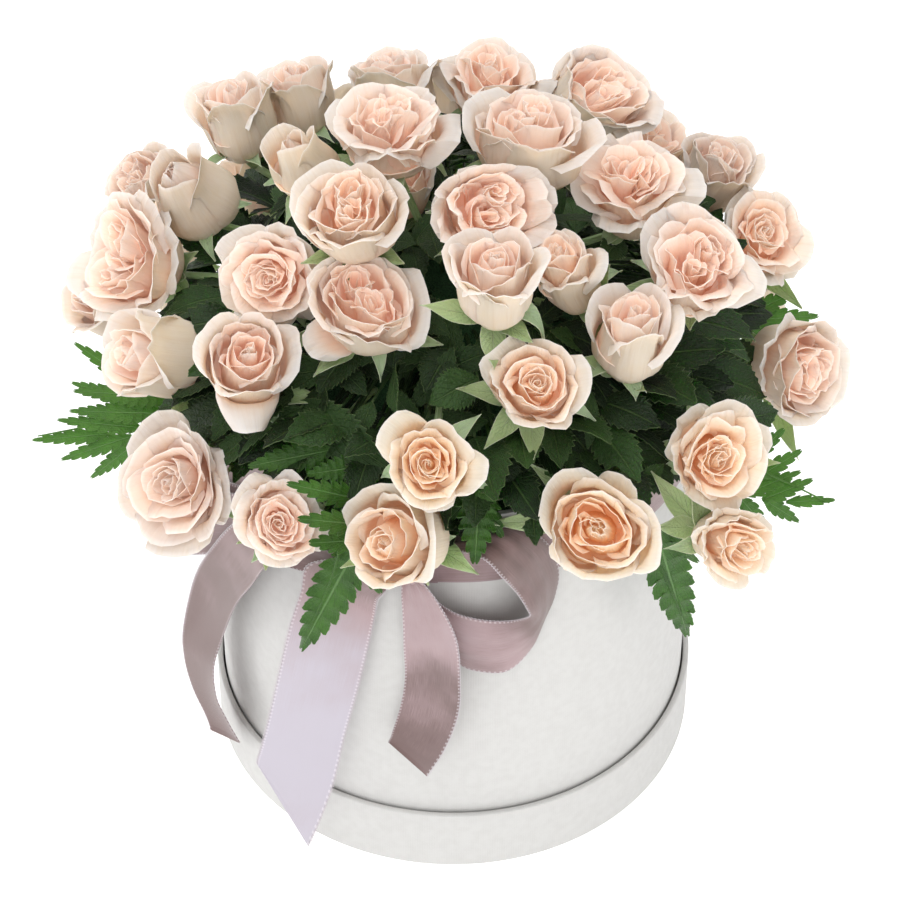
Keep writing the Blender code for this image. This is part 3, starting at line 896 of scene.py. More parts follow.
@dataclass(frozen=True)
class SatinFinish:
    """Satin ribbon: fine weave across it, a painted sheen that runs along it, and a dull stitched selvedge.
    """

    name: str
    colour: Colour
    half_lit_rosy: Colour
    lit: Colour
    edge: Colour
    roughness: float = 0.36
    edge_roughness: float = 0.6
    edge_share: float = 0.4
    weave_scale: Triple = (220.0, 14.0, 1.0)
    weave_height: float = 0.00006
    weave_strength: float = 0.5
    weave_share: float = 0.05
    patch_scale: float = 34.0
    patch_share: float = 0.08
    stitch_pitch: float = 0.0022
    stitch_share: float = 0.36
    stitch: Colour = (0.86, 0.82, 0.85)
    selvedge_span: Span = (0.484, 0.494)
    stitch_span: Span = (0.466, 0.474)
    beat_span: Span = (-0.2, 0.6)
    weave_span: Span = (0.3, 0.7)
    half_lit_span: Span = (0.0, 0.4)
    lit_span: Span = (0.3, 1.0)
    sheen: float = 0.12
    sheen_roughness: float = 0.35
    anisotropic: float = 0.5
    specular: float = 0.35

    def make(self, shared: SharedEffects) -> Material:
        """Builds the material.

        Args:
            shared: The node groups that the finishes share.

        Returns:
            The material.
        """
        material, nodes, shader = new_material(self.name)
        uv = nodes.uv()
        from_edge = nodes.away(nodes.parts(uv)[0], 0.5)
        selvedge = nodes.stretch(from_edge, *self.selvedge_span)
        beat = nodes.math("SINE", nodes.times(nodes.attribute("run"), math.tau / self.stitch_pitch))
        beat = nodes.stretch(beat, *self.beat_span)
        stitch = nodes.times(beat, nodes.stretch(from_edge, *self.stitch_span))
        threads = nodes.add("Mapping", {"Vector": uv, "Scale": self.weave_scale}).outputs[0]
        weave = nodes.noise(threads, 1.0, 2.0)
        slow = shared.mottle(nodes, self.patch_scale, -self.patch_share, self.patch_share)
        fine = nodes.stretch(weave, *self.weave_span, -self.weave_share, self.weave_share)
        uneven = nodes.math("ADD", slow, fine)
        # Painted sheen: the light value colours the ribbon from its dark mauve through rosy to lilac-white
        # where the satin would catch the light.
        light = nodes.clamp(nodes.math("ADD", nodes.attribute("light"), uneven))
        colour = nodes.blend(nodes.stretch(light, *self.half_lit_span), self.colour, self.half_lit_rosy)
        colour = nodes.blend(nodes.stretch(light, *self.lit_span), colour, self.lit)
        colour = nodes.blend(nodes.times(selvedge, self.edge_share), colour, self.edge)
        inputs = {
            "Base Color": nodes.blend(nodes.times(stitch, self.stitch_share), colour, self.stitch),
            "Normal": nodes.bump(weave, self.weave_height, self.weave_strength),
            "Roughness": nodes.stretch(selvedge, 0.0, 1.0, self.roughness, self.edge_roughness),
            "Sheen Weight": self.sheen,
            "Sheen Roughness": self.sheen_roughness,
            "Anisotropic": self.anisotropic,
            "Specular IOR Level": self.specular,
        }
        nodes.fill(shader, inputs)
        return material


MAUVE_SATIN = SatinFinish(
    "mauve_satin",
    colour=(0.168, 0.107, 0.101),
    half_lit_rosy=(0.42, 0.30, 0.31),
    lit=(0.54, 0.505, 0.57),
    edge=(0.38, 0.30, 0.33),
)
SELVEDGE_THREAD = SatinFinish(
    "selvedge_thread",
    colour=(0.45, 0.37, 0.39),
    half_lit_rosy=(0.52, 0.44, 0.46),
    lit=(0.62, 0.57, 0.60),
    edge=(0.62, 0.57, 0.60),
    roughness=0.6,
)


@dataclass(frozen=True)
class BoardFinish:
    """Off-white paper on board with a fine linen emboss."""

    name: str = "linen_board"
    paper: Colour = (0.65, 0.645, 0.63)
    shade: Colour = (0.57, 0.56, 0.545)
    wall_radius: float = 0.1065
    seam_at: float = 0.172
    seam_share: float = 0.5
    seam_depth: float = 2.0
    seam_span: Span = (0.0001, 0.0005)
    threads_per_metre: float = 950.0
    thread_share: float = 0.55
    emboss_height: float = 0.00012
    emboss_strength: float = 0.6
    patch_scale: float = 240.0
    patch_share: float = 0.6
    roughness: float = 0.62
    unevenness: float = 0.06

    def make(self, shared: SharedEffects) -> Material:
        """Builds the material.

        Args:
            shared: The node groups that the finishes share.

        Returns:
            The material.
        """
        material, nodes, shader = new_material(self.name)
        x, y, height = nodes.parts(nodes.place())
        round_it = nodes.times(nodes.math("ARCTAN2", y, x), self.wall_radius)
        linen = nodes.math("MAXIMUM", self._threads(nodes, round_it), self._threads(nodes, height))
        slow = shared.mottle(nodes, self.patch_scale, 0.0, 1.0)
        fade = nodes.math("ADD", nodes.times(slow, self.patch_share), 1 - self.patch_share)
        uneven = nodes.times(linen, fade)
        seam = nodes.stretch(nodes.away(round_it, self.seam_at), *self.seam_span, 1.0, 0.0)
        colour = nodes.blend(nodes.times(uneven, self.thread_share), self.paper, self.shade)
        relief = nodes.math("SUBTRACT", uneven, nodes.times(seam, self.seam_depth))
        low, high = self.roughness - self.unevenness, self.roughness + self.unevenness
        inputs = {
            "Base Color": nodes.blend(nodes.times(seam, self.seam_share), colour, self.shade),
            "Normal": nodes.bump(relief, self.emboss_height, self.emboss_strength),
            "Roughness": nodes.stretch(slow, 0.0, 1.0, low, high),
        }
        nodes.fill(shader, inputs)
        return material

    def _threads(self, nodes: Nodes, distance: Value) -> NodeSocket:
        """Lines square to a distance, as the emboss has threads."""
        phase = nodes.times(distance, self.threads_per_metre * math.pi)
        return nodes.math("ABSOLUTE", nodes.math("SINE", phase))


@dataclass(frozen=True)
class FoamFinish:
    """Flower foam: matt green with fine open pores."""

    name: str
    colour: Colour
    pore: Colour
    pore_scale: float = 1400.0
    patch_scale: float = 60.0
    patch_share: float = 0.4
    pore_depth: float = 0.0005
    pore_strength: float = 0.7
    roughness: float = 0.95

    def make(self, shared: SharedEffects) -> Material:
        """Builds the material.

        Args:
            shared: The node groups that the finishes share.

        Returns:
            The material.
        """
        material, nodes, shader = new_material(self.name)
        fine = shared.mottle(nodes, self.pore_scale, 0.0, 1.0)
        pores = nodes.math("MAXIMUM", fine, shared.mottle(nodes, self.patch_scale, 0.0, self.patch_share))
        inputs = {
            "Base Color": nodes.blend(pores, self.colour, self.pore),
            "Normal": nodes.bump(fine, self.pore_depth, self.pore_strength),
            "Roughness": self.roughness,
        }
        nodes.fill(shader, inputs)
        return material


@dataclass(frozen=True)
class FilmFinish:
    """Clear film, crinkled where it is pushed into the box."""

    name: str = "clear_film"
    tint: Colour = (0.80, 0.84, 0.82)
    crease: Colour = (0.95, 0.97, 0.96)
    crinkle_scale: float = 130.0
    crinkle_share: float = 0.3
    crinkle_height: float = 0.001
    crinkle_strength: float = 0.8
    roughness: Span = (0.12, 0.3)
    alpha: float = 0.35

    def make(self, shared: SharedEffects) -> Material:
        """Builds the material.

        Args:
            shared: The node groups that the finishes share.

        Returns:
            The material.
        """
        material, nodes, shader = new_material(self.name)
        crinkle = shared.mottle(nodes, self.crinkle_scale, 0.0, 1.0)
        inputs = {
            "Base Color": nodes.blend(nodes.times(crinkle, self.crinkle_share), self.tint, self.crease),
            "Normal": nodes.bump(crinkle, self.crinkle_height, self.crinkle_strength),
            "Roughness": nodes.stretch(crinkle, 0.0, 1.0, *self.roughness),
            "Alpha": self.alpha,
        }
        nodes.fill(shader, inputs)
        return material


# Blooms
class BloomKind(Enum):
    """How far open a bloom is and how its heart lies."""

    SWIRL = "swirl"
    RUFFLED = "ruffled"
    CUPPED = "cupped"
    LAYERED = "layered"
    HALF_OPEN = "half open"
    BUD = "bud"


SWIRL, RUFFLED, CUPPED, LAYERED, HALF_OPEN, BUD = BloomKind


@dataclass(frozen=True)
class BloomForm:
    """How a bloom's petals change from the outermost, at share 0, to the heart, at share 1.

    Lengths and breadths are shares of the bloom's radius, and turns are degrees from the bloom's axis.
    """

    petals: int
    spacing: float
    length: Track
    breadth: Track
    foot: Track
    cup: Track
    middle: Track
    lip: Track
    lip_start: Track
    roll_back: Track
    wrap: Track
    frill: Track
    fold: Track
    jitter: float
    warp: float = 0.05
    hearts: int = 1
    split: float = 1.0
    heart_reach: float = 0.0
    heart_size: float = 1.0


FORMS = {
    SWIRL: BloomForm(
        petals=26,
        spacing=0.80,
        length=((0, 1.56), (0.15, 1.52), (0.35, 1.46), (0.6, 1.36), (1, 1.20)),
        breadth=((0, 0.86), (0.3, 0.80), (0.6, 0.62), (1, 0.38)),
        foot=((0, 92), (0.2, 88), (0.4, 76), (0.65, 48), (1, 16)),
        cup=((0, 0.52), (0.3, 0.50), (0.6, 0.40), (1, 0.34)),
        middle=((0, 6), (0.15, 1), (0.35, -3), (0.6, -5), (1, -3)),
        lip=((0, 92), (0.08, 70), (0.2, 44), (0.4, 20), (0.6, 2), (1, -14)),
        lip_start=((0, 0.66), (0.3, 0.72), (1, 0.60)),
        roll_back=((0, 46), (0.2, 62), (0.5, 50), (1, 14)),
        wrap=((0, 66), (0.4, 92), (0.7, 122), (1, 170)),
        frill=((0, 0.065), (0.4, 0.03), (1, 0.010)),
        fold=((0, 0.0), (1, 0.02)),
        jitter=4.0,
        warp=0.028,
    ),
    RUFFLED: BloomForm(
        petals=30,
        spacing=0.85,
        length=((0, 1.36), (0.12, 1.46), (0.3, 1.50), (0.6, 1.38), (1, 1.22)),
        breadth=((0, 0.84), (0.25, 0.78), (0.6, 0.66), (1, 0.48)),
        foot=((0, 96), (0.2, 90), (0.45, 72), (0.7, 50), (1, 22)),
        cup=((0, 0.46), (0.3, 0.50), (0.6, 0.42), (1, 0.34)),
        middle=((0, 14), (0.12, 8), (0.3, 2), (0.6, -2), (1, -2)),
        lip=((0, 102), (0.12, 80), (0.25, 58), (0.45, 34), (0.7, 16), (1, 0)),
        lip_start=((0, 0.60), (0.3, 0.66), (1, 0.62)),
        roll_back=((0, 40), (0.3, 40), (0.6, 28), (1, 12)),
        wrap=((0, 62), (0.5, 82), (1, 150)),
        frill=((0, 0.085), (0.3, 0.065), (0.6, 0.04), (1, 0.025)),
        fold=((0, 0.0), (0.4, 0.02), (0.7, 0.04), (1, 0.03)),
        jitter=6.0,
        warp=0.045,
        hearts=2,
        split=0.50,
        heart_reach=0.20,
        heart_size=0.84,
    ),
    LAYERED: BloomForm(
        petals=30,
        spacing=0.85,
        length=((0, 1.36), (0.15, 1.46), (0.35, 1.48), (0.6, 1.38), (1, 1.20)),
        breadth=((0, 0.84), (0.3, 0.76), (0.6, 0.60), (1, 0.38)),
        foot=((0, 96), (0.2, 89), (0.45, 70), (0.7, 44), (1, 18)),
        cup=((0, 0.46), (0.3, 0.50), (0.6, 0.40), (1, 0.34)),
        middle=((0, 14), (0.12, 7), (0.3, 1), (0.6, -3), (1, -3)),
        lip=((0, 100), (0.12, 78), (0.25, 54), (0.45, 30), (0.7, 8), (1, -10)),
        lip_start=((0, 0.60), (0.3, 0.66), (1, 0.62)),
        roll_back=((0, 44), (0.3, 50), (0.6, 36), (1, 12)),
        wrap=((0, 64), (0.4, 88), (0.7, 118), (1, 165)),
        frill=((0, 0.075), (0.4, 0.04), (1, 0.016)),
        fold=((0, 0.0), (0.6, 0.02), (1, 0.02)),
        jitter=5.0,
        warp=0.04,
    ),
    CUPPED: BloomForm(
        petals=28,
        spacing=0.85,
        length=((0, 1.60), (0.2, 1.60), (0.4, 1.50), (1, 1.28)),
        breadth=((0, 0.98), (0.25, 0.92), (0.45, 0.66), (1, 0.44)),
        foot=((0, 96), (0.2, 92), (0.4, 80), (0.7, 48), (1, 22)),
        cup=((0, 0.50), (0.3, 0.52), (0.6, 0.42), (1, 0.34)),
        middle=((0, 6), (0.12, 1), (0.3, -3), (0.6, -4), (1, -2)),
        lip=((0, 64), (0.10, 44), (0.25, 28), (0.5, 14), (1, 0)),
        lip_start=((0, 0.70), (0.3, 0.72), (1, 0.62)),
        roll_back=((0, 44), (0.25, 44), (0.5, 30), (1, 10)),
        wrap=((0, 76), (0.4, 98), (0.7, 124), (1, 165)),
        frill=((0, 0.065), (0.4, 0.045), (1, 0.02)),
        fold=((0, 0.0), (0.5, 0.03), (1, 0.03)),
        jitter=5.0,
        warp=0.04,
        hearts=2,
        split=0.50,
        heart_reach=0.18,
        heart_size=0.84,
    ),
    HALF_OPEN: BloomForm(
        petals=22,
        spacing=0.85,
        length=((0, 1.66), (0.2, 1.64), (0.4, 1.50), (1, 1.24)),
        breadth=((0, 0.96), (0.25, 0.90), (0.6, 0.70), (1, 0.42)),
        foot=((0, 96), (0.2, 92), (0.4, 80), (0.7, 46), (1, 20)),
        cup=((0, 0.50), (0.3, 0.52), (0.6, 0.42), (1, 0.34)),
        middle=((0, 4), (0.12, -2), (0.3, -6), (0.6, -8), (1, -6)),
        lip=((0, 58), (0.10, 38), (0.25, 16), (0.5, -6), (1, -18)),
        lip_start=((0, 0.70), (0.3, 0.74), (1, 0.64)),
        roll_back=((0, 60), (0.25, 64), (0.5, 40), (1, 12)),
        wrap=((0, 72), (0.4, 96), (0.7, 124), (1, 165)),
        frill=((0, 0.04), (0.4, 0.03), (1, 0.02)),
        fold=((0, 0.0), (0.5, 0.02), (1, 0.03)),
        jitter=4.5,
        warp=0.035,
    ),
    BUD: BloomForm(
        petals=16,
        spacing=0.9,
        length=((0, 2.00), (0.4, 1.92), (1, 1.66)),
        breadth=((0, 1.02), (0.5, 0.94), (1, 0.50)),
        foot=((0, 98), (0.4, 84), (1, 26)),
        cup=((0, 0.46), (0.5, 0.40), (1, 0.32)),
        middle=((0, -16), (0.3, -20), (1, -10)),
        lip=((0, 14), (0.15, -12), (0.5, -42), (1, -30)),
        lip_start=((0, 0.66), (1, 0.60)),
        roll_back=((0, 8), (0.3, 4), (1, 0)),
        wrap=((0, 80), (0.5, 116), (1, 165)),
        frill=((0, 0.02), (1, 0.0)),
        fold=((0, 0.0), (1, 0.0)),
        jitter=3.5,
        warp=0.03,
    ),
}


@dataclass(frozen=True)
class Guard:
    """An outer petal with a place of its own round the bloom's axis, towards a direction in the picture.

    Its reach and its breadth are shares of the bloom's radius, and its turns are degrees from that axis.
    The lip starts at a share of the petal's length, and the tip is narrower by the taper.
    """

    towards: float
    reach: float
    foot: float
    middle: float
    lip: float
    breadth: float
    lip_start: float = 0.66
    taper: float = 0.0


@dataclass(frozen=True)
class Rose:
    """A bloom on its stem, as CAD places it, with what its petals are like."""

    number: int
    seen_at: Pixel
    across: float
    deep: float
    lift: float = 0.0
    behind: float = 0.0
    kind: BloomKind = RUFFLED
    warmth: float = 0.2
    # dust: painted shade, how far the whole bloom is darkened and dulled towards beige
    dust: float = 0.0
    looks: Pixel = (0.0, 0.0)
    guards: tuple[Guard, ...] = ()
    sepals: tuple[Pixel, ...] = ()
    tall: float = 1.0
    nudge: Pixel = (0.0, 0.0)

    @property
    def name(self) -> str:
        """The rose's CAD node."""
        return f"rose_{self.number:02d}"

    def facing(self, view: Viewpoint) -> Vector:
        """The way the rose faces, from how far across and up the picture it looks.

        Args:
            view: The photograph's viewpoint.

        Returns:
            The direction.
        """
        right, up = self.looks
        near = math.sqrt(1 - right**2 - up**2)
        return ACROSS * right + view.picture_up * up + view.to_viewer * near


ROSES = (
    Rose(1, (397, 74), 0.040, 0.034, kind=CUPPED, dust=0.2, looks=(-0.10, 0.95), nudge=(0, 18)),
    Rose(2, (494, 72), 0.052, 0.034, kind=LAYERED, looks=(0.00, 0.70), nudge=(0, 16), tall=0.78),
    Rose(3, (598, 98), 0.048, 0.036, kind=CUPPED, looks=(0.44, 0.62), nudge=(0, 12)),
    Rose(4, (305, 102), 0.036, 0.036, behind=0.012, kind=HALF_OPEN, dust=0.25, looks=(-0.25, 0.86),
         nudge=(-4, 0)),
    Rose(5, (233, 121), 0.040, 0.038, kind=HALF_OPEN, dust=0.15, looks=(-0.30, 0.80), nudge=(5, 0)),
    Rose(6, (395, 126), 0.054, 0.036, lift=0.012, looks=(-0.06, 0.68), nudge=(0, 8), tall=0.84),
    Rose(7, (532, 130), 0.056, 0.038, lift=0.010, kind=CUPPED, looks=(0.06, 0.76), tall=0.86,
         nudge=(0, 14)),
    Rose(8, (300, 168), 0.030, 0.036, lift=0.008, kind=BUD, warmth=0.5, looks=(-0.28, 0.58), nudge=(0, -8),
         tall=0.95),
    Rose(9, (147, 183), 0.034, 0.032, behind=0.012, kind=CUPPED, dust=0.5, looks=(-0.52, 0.52),
         nudge=(4, 6), tall=0.9),
    Rose(10, (198, 192), 0.036, 0.040, lift=0.010, kind=BUD, dust=0.3, looks=(-0.30, 0.46), nudge=(-8, 0),
         tall=0.95),
    Rose(11, (412, 184), 0.028, 0.028, lift=-0.029, kind=HALF_OPEN, dust=0.2, looks=(0.06, 0.70),
         nudge=(-10, 2), tall=1.3),
    Rose(12, (350, 212), 0.046, 0.038, lift=0.016, kind=CUPPED, warmth=0.4, looks=(-0.14, 0.52),
         sepals=((300, 262), (405, 262)), tall=0.98, nudge=(4, 6)),
    Rose(13, (491, 214), 0.051, 0.036, lift=-0.002, looks=(0.18, 0.22),
         guards=(Guard(168, 1.08, 94, 50, 92, 0.6), Guard(10, 1.08, 94, 50, 92, 0.6)),
         sepals=((440, 262), (470, 268)), tall=0.8, nudge=(0, 4)),
    Rose(14, (635, 190), 0.057, 0.038, lift=0.002, looks=(0.10, 0.52), sepals=((600, 245), (690, 244)),
         tall=0.8, nudge=(0, 6)),
    Rose(15, (655, 135), 0.036, 0.032, behind=0.026, kind=CUPPED, dust=0.2, looks=(0.30, 0.66),
         nudge=(-6, 20)),
    Rose(16, (722, 178), 0.036, 0.034, behind=0.010, kind=CUPPED, dust=0.7, looks=(0.34, 0.60),
         nudge=(-6, 0), tall=0.88),
    Rose(17, (131, 260), 0.050, 0.038, lift=0.016, looks=(-0.62, 0.22),
         sepals=((190, 300), (186, 278), (196, 250)), tall=1.1, nudge=(6, 0)),
    Rose(18, (90, 298), 0.034, 0.030, behind=0.004, kind=HALF_OPEN, dust=0.7, looks=(-0.75, 0.10),
         nudge=(18, 0)),
    Rose(19, (278, 280), 0.047, 0.034, lift=-0.006, kind=LAYERED, looks=(-0.12, -0.02),
         sepals=((222, 330), (330, 345)), tall=0.95),
    Rose(20, (368, 309), 0.048, 0.032, lift=-0.008, kind=CUPPED, looks=(0.06, 0.44),
         guards=(Guard(206, 1.32, 94, 66, 96, 0.62),), sepals=((311, 374), (444, 343), (352, 352)),
         tall=0.86),
    Rose(21, (496, 285), 0.041, 0.036, lift=0.020, kind=HALF_OPEN, looks=(0.02, 0.56),
         guards=(Guard(246, 1.00, 94, 10, 22, 0.95),), sepals=((420, 306), (490, 370), (535, 340)),
         tall=0.9),
    Rose(22, (566, 276), 0.033, 0.036, lift=-0.006, kind=SWIRL, warmth=0.4, looks=(-0.20, 0.62),
         sepals=((608, 262), (600, 322)), nudge=(4, 0)),
    Rose(23, (700, 268), 0.049, 0.036, lift=0.014, looks=(0.12, 0.34),
         sepals=((600, 293), (691, 331), (662, 318)), tall=0.98),
    Rose(24, (762, 243), 0.040, 0.034, lift=-0.006, kind=LAYERED, warmth=0.4, looks=(0.30, 0.30),
         sepals=((806, 305), (745, 300)), tall=1.15),
    Rose(25, (632, 338), 0.038, 0.040, kind=HALF_OPEN, looks=(0.12, 0.62),
         sepals=((643, 394), (583, 352), (590, 300)), tall=0.86),
    Rose(26, (535, 387), 0.043, 0.036, kind=SWIRL, warmth=0.6, looks=(0.06, 0.14),
         sepals=((509, 333), (457, 388), (483, 449), (534, 462)), tall=0.86),
    Rose(27, (155, 355), 0.036, 0.046, lift=0.004, kind=HALF_OPEN, looks=(-0.80, 0.08),
         sepals=((160, 418), (214, 330)), nudge=(8, 0)),
    Rose(28, (247, 372), 0.042, 0.040, kind=HALF_OPEN, looks=(0.08, 0.30),
         guards=(Guard(174, 1.20, 92, 46, 64, 0.42), Guard(274, 1.56, 92, 4, 122, 1.30, 0.42, 0.58)),
         sepals=((318, 329), (330, 406)), tall=0.84, nudge=(0, -7)),
    Rose(29, (797, 367), 0.044, 0.038, kind=CUPPED, looks=(0.52, -0.12),
         sepals=((736, 326), (755, 351), (686, 380), (801, 461)), tall=1.05, nudge=(-4, 0)),
    Rose(30, (716, 455), 0.043, 0.036, lift=0.006, kind=LAYERED, warmth=0.8, looks=(0.26, -0.10),
         sepals=((642, 452), (687, 400), (779, 470)), tall=1.02),
    Rose(31, (433, 463), 0.042, 0.034, lift=0.014, kind=SWIRL, warmth=1.0, looks=(0.02, 0.12),
         guards=(Guard(284, 1.04, 92, 60, 108, 0.90),), tall=0.9),
    Rose(32, (175, 483), 0.048, 0.036, kind=LAYERED, looks=(-0.38, -0.04), sepals=((232, 500),), tall=1.2,
         nudge=(7, 0), dust=0.75),
    Rose(33, (280, 519), 0.038, 0.032, kind=LAYERED, looks=(0.08, 0.00), sepals=((262, 570), (240, 548)),
         dust=0.1),
    Rose(34, (400, 537), 0.043, 0.036, lift=-0.002, kind=HALF_OPEN, warmth=0.75, looks=(-0.42, 0.04),
         sepals=((480, 572), (338, 560)), tall=0.95),
    Rose(35, (598, 523), 0.047, 0.036, kind=HALF_OPEN, warmth=1.0, looks=(0.06, -0.02),
         guards=(Guard(60, 1.12, 92, 30, 52, 0.42),), sepals=((486, 520), (535, 456)), tall=0.92),
    Rose(36, (729, 542), 0.037, 0.036, kind=LAYERED, warmth=0.8, looks=(0.50, -0.28),
         sepals=((647, 475), (655, 526)), tall=0.9),
)


@dataclass(frozen=True)
class PetalGrid:
    """How finely a petal is shaped, and which of its rows and columns are kept in the mesh."""

    rows: int = 25
    columns: int = 21
    outer: tuple[tuple[int, ...], tuple[int, ...]] = (
        (0, 6, 10, 13, 15, 17, 19, 21, 22, 23, 24),
        (0, 1, 2, 3, 5, 7, 9, 11, 13, 15, 17, 18, 19, 20),
    )
    inner: tuple[tuple[int, ...], tuple[int, ...]] = (
        (0, 9, 14, 18, 21, 23, 24),
        (0, 1, 3, 5, 8, 10, 12, 15, 17, 19, 20),
    )
    inner_from: float = 0.3

    def kept(self, share: float) -> tuple[np.ndarray, np.ndarray]:
        """The kept rows and columns of the petal at a share."""
        rows, columns = self.outer if share < self.inner_from else self.inner
        return np.array(rows), np.array(columns)


PETAL_GRID = PetalGrid()
PETAL_SHAKE = np.array([1.0, 0.6, 2.0])
PETAL_BREADTHS = ((0, 0.26), (0.15, 0.52), (0.4, 0.90), (0.7, 1.0), (1, 0.90))
PETAL_DRAWS = ((0.0, 1.0, 1.0, 0.0), (0.05, 0.35, 0.35, 0.10))
FRILL_WAVES = ((3.4, 1.0), (7.0, 0.5), (13.0, 0.2))
BED_PROFILE = ((0.002, 0.30), (0.2, 0.31), (0.4, 0.36), (0.56, 0.50))


@dataclass
class Bloom:
    """One bloom: its petals round its own axis, at its place."""

    centre: Vector
    facing: Vector
    across: float
    deep: float
    kind: BloomKind
    seed: int
    warmth: float
    # dust: painted shade, how far the whole bloom is darkened and dulled towards beige
    dust: float = 0.0
    guards: tuple[Guard, ...] = ()
    outward: Vector | None = None
    tall: float = 1.0
    foot_share: float = 0.44
    filled_depth: float = 0.94
    petal_thickness: float = 0.00035
    edge_thinning: float = 0.45
    stray_share: float = 0.0004
    least_slant: float = 0.2
    waves_drawn: int = 6
    wave_spread: float = 1.5
    wave_pushes: Triple = (1.0, 1.0, 0.7)
    centred_by: float = 0.7
    warped_by: float = 0.8
    parted_by: float = 0.6
    bed_columns: int = 17
    length_spread: float = 0.025
    notch_depth: float = 0.05
    notch_share: float = 0.4
    notch_width: float = 0.22
    tip_rounding: float = 0.28
    lip_power: float = 1.2
    root_reach: float = 0.10
    heart_nearer: float = 0.075
    least_wrap_reach: float = 0.03
    least_reach: float = 0.012
    crimp_rate: float = 17.0
    crimp_start: float = 0.72
    tuck: float = 0.05
    side_roll: float = 0.09
    side_cup: float = 0.03
    fold_width: float = 0.3
    fold_power: float = 1.5

    def __post_init__(self) -> None:
        """Works out the bloom's own axes: across the picture, up it, and the way it faces."""
        self.form = FORMS[self.kind]
        self.radius = self.across / 2
        first = ACROSS - self.facing * ACROSS.dot(self.facing)
        if first.length < self.least_slant:
            first = UPWARD - self.facing * self.facing.z
        first.normalize()
        self.axes = np.array([first, self.facing.cross(first), self.facing])
        self.base = np.array(self.centre - self.facing * (self.deep * self.foot_share))
        self.random = np.random.default_rng(self.seed)
        self.waves = self.random.normal(0, self.wave_spread, (self.waves_drawn, 3))
        self.phases = self.random.uniform(0, math.tau, self.waves_drawn)
        self.pushes = self.random.normal(0, 1, (self.waves_drawn, 3)) * self.wave_pushes

    def keep_out(self, points: np.ndarray, gap: float = 0.002) -> None:
        """Pushes points that lie inside the bloom's cup back behind its base.

        Args:
            points: The points, which are moved in place.
            gap: How far behind the base they end up, at the least.
        """
        local = (points - self.base) @ self.axes.T
        away, height = np.hypot(local[:, 0], local[:, 1]), local[:, 2]
        cup = self.radius * np.clip(0.5 + height / self.deep, 0.5, 0.95)
        inside = (height > -gap) & (height < self.deep) & (away < cup)
        push = (height - self.deep) * 0.05 - gap - height
        points[inside] += push[inside, None] * self.axes[2]

    def place(self, local: np.ndarray) -> np.ndarray:
        """Turns points of the bloom's own frame into the row's frame."""
        return local @ self.axes + self.base

    def petals(self, mesh: PieceMesh) -> None:
        """Adds every petal to the piece, the outermost first, sized to the bloom's own width and depth.

        Args:
            mesh: The piece's mesh.
        """
        form = self.form
        laid = [(0.0, self._petal(0.0, math.radians(guard.towards), guard)) for guard in self.guards]
        for index in range(form.petals):
            share = (index / (form.petals - 1)) ** form.spacing
            turn = index * GOLDEN_TURN + self.random.normal(0, math.radians(form.jitter))
            grid = self._petal(share, turn, None)
            laid.append((share, self._to_heart(grid, index) if share > form.split else grid))
        laid = [(share, self._warp(grid)) for share, grid in laid]
        body = np.concatenate([grid.reshape(-1, 3) for _, grid in laid[len(self.guards) :]])
        low, high = np.quantile(body, (self.stray_share, 1 - self.stray_share), axis=0)
        middle = np.append((low[:2] + high[:2]) / 2, body[:, 2].min())
        half = (high[:2] - low[:2]) / 2
        deep = self.filled_depth * self.deep / (high[2] - middle[2])
        size = np.array([self.radius / half[0], self.tall * self.radius / half[1], deep])
        for guard, (_, grid) in zip(self.guards, laid):
            grid[..., :2] *= guard.reach * half.mean() / np.hypot(grid[..., 0], grid[..., 1]).max()
        self._bed(mesh, middle, size)
        for share, grid in laid:
            self._lay(mesh, share, grid, middle, size)

    def _lay(
        self, mesh: PieceMesh, share: float, grid: np.ndarray, middle: np.ndarray, size: np.ndarray
    ) -> None:
        """Adds one shaped petal to the piece, thinner towards its edge.

        Args:
            mesh: The piece's mesh.
            share: 0 for the outermost petal to 1 for the heart.
            grid: Its middle surface.
            middle: The middle of the bloom's foot, which becomes its origin.
            size: How much it is stretched along each of the bloom's axes.
        """
        rise = grid[..., 2:] - middle[2]
        centring = np.append(ease(rise / self.centred_by).repeat(2, -1), np.ones_like(rise), axis=-1)
        local = (grid - middle * centring) * size
        rows, columns = PETAL_GRID.kept(share)
        side, tip = columns / (PETAL_GRID.columns - 1), rows / (PETAL_GRID.rows - 1)
        near_edge = np.maximum(np.abs(2 * side - 1)[None, :], tip[:, None])
        thickness = self.petal_thickness * (1 - self.edge_thinning * near_edge**3)
        placed = self.place(local[rows][:, columns])
        mesh.add_sheet(placed, thickness, (side, tip), heart=share, warmth=self.warmth, dust=self.dust)

    def _bed(self, mesh: PieceMesh, middle: np.ndarray, size: np.ndarray) -> None:
        """Adds the shallow bowl that the inner petals stand on, so that no green shows between them.

        Args:
            mesh: The piece's mesh.
            middle: The middle of the bloom's foot, which becomes its origin.
            size: How much it is stretched along each of the bloom's axes.
        """
        turn = np.linspace(0, math.tau, self.bed_columns)[None, :]
        reach, height = np.array(BED_PROFILE).T[..., None]
        bowl = np.stack([reach * np.cos(turn), reach * np.sin(turn), height + middle[2] + 0 * turn], -1)
        placed = self.place((bowl - middle) * size)
        mesh.add_sheet(placed, self.petal_thickness, heart=1.0, warmth=self.warmth, dust=self.dust)

    def _to_heart(self, grid: np.ndarray, index: int) -> np.ndarray:
        """Moves an inner petal to one of the bloom's several hearts, which stand round its axis.

        Args:
            grid: Its middle surface.
            index: The petal's number.

        Returns:
            The moved petal.
        """
        form = self.form
        turn = self.phases[0] + index % form.hearts * math.tau / form.hearts
        shift = form.heart_reach * np.array([math.cos(turn), math.sin(turn), 0.0])
        size = np.array([form.heart_size, form.heart_size, 1.0])
        return grid * size + shift * ease(grid[..., 2:] / self.parted_by)

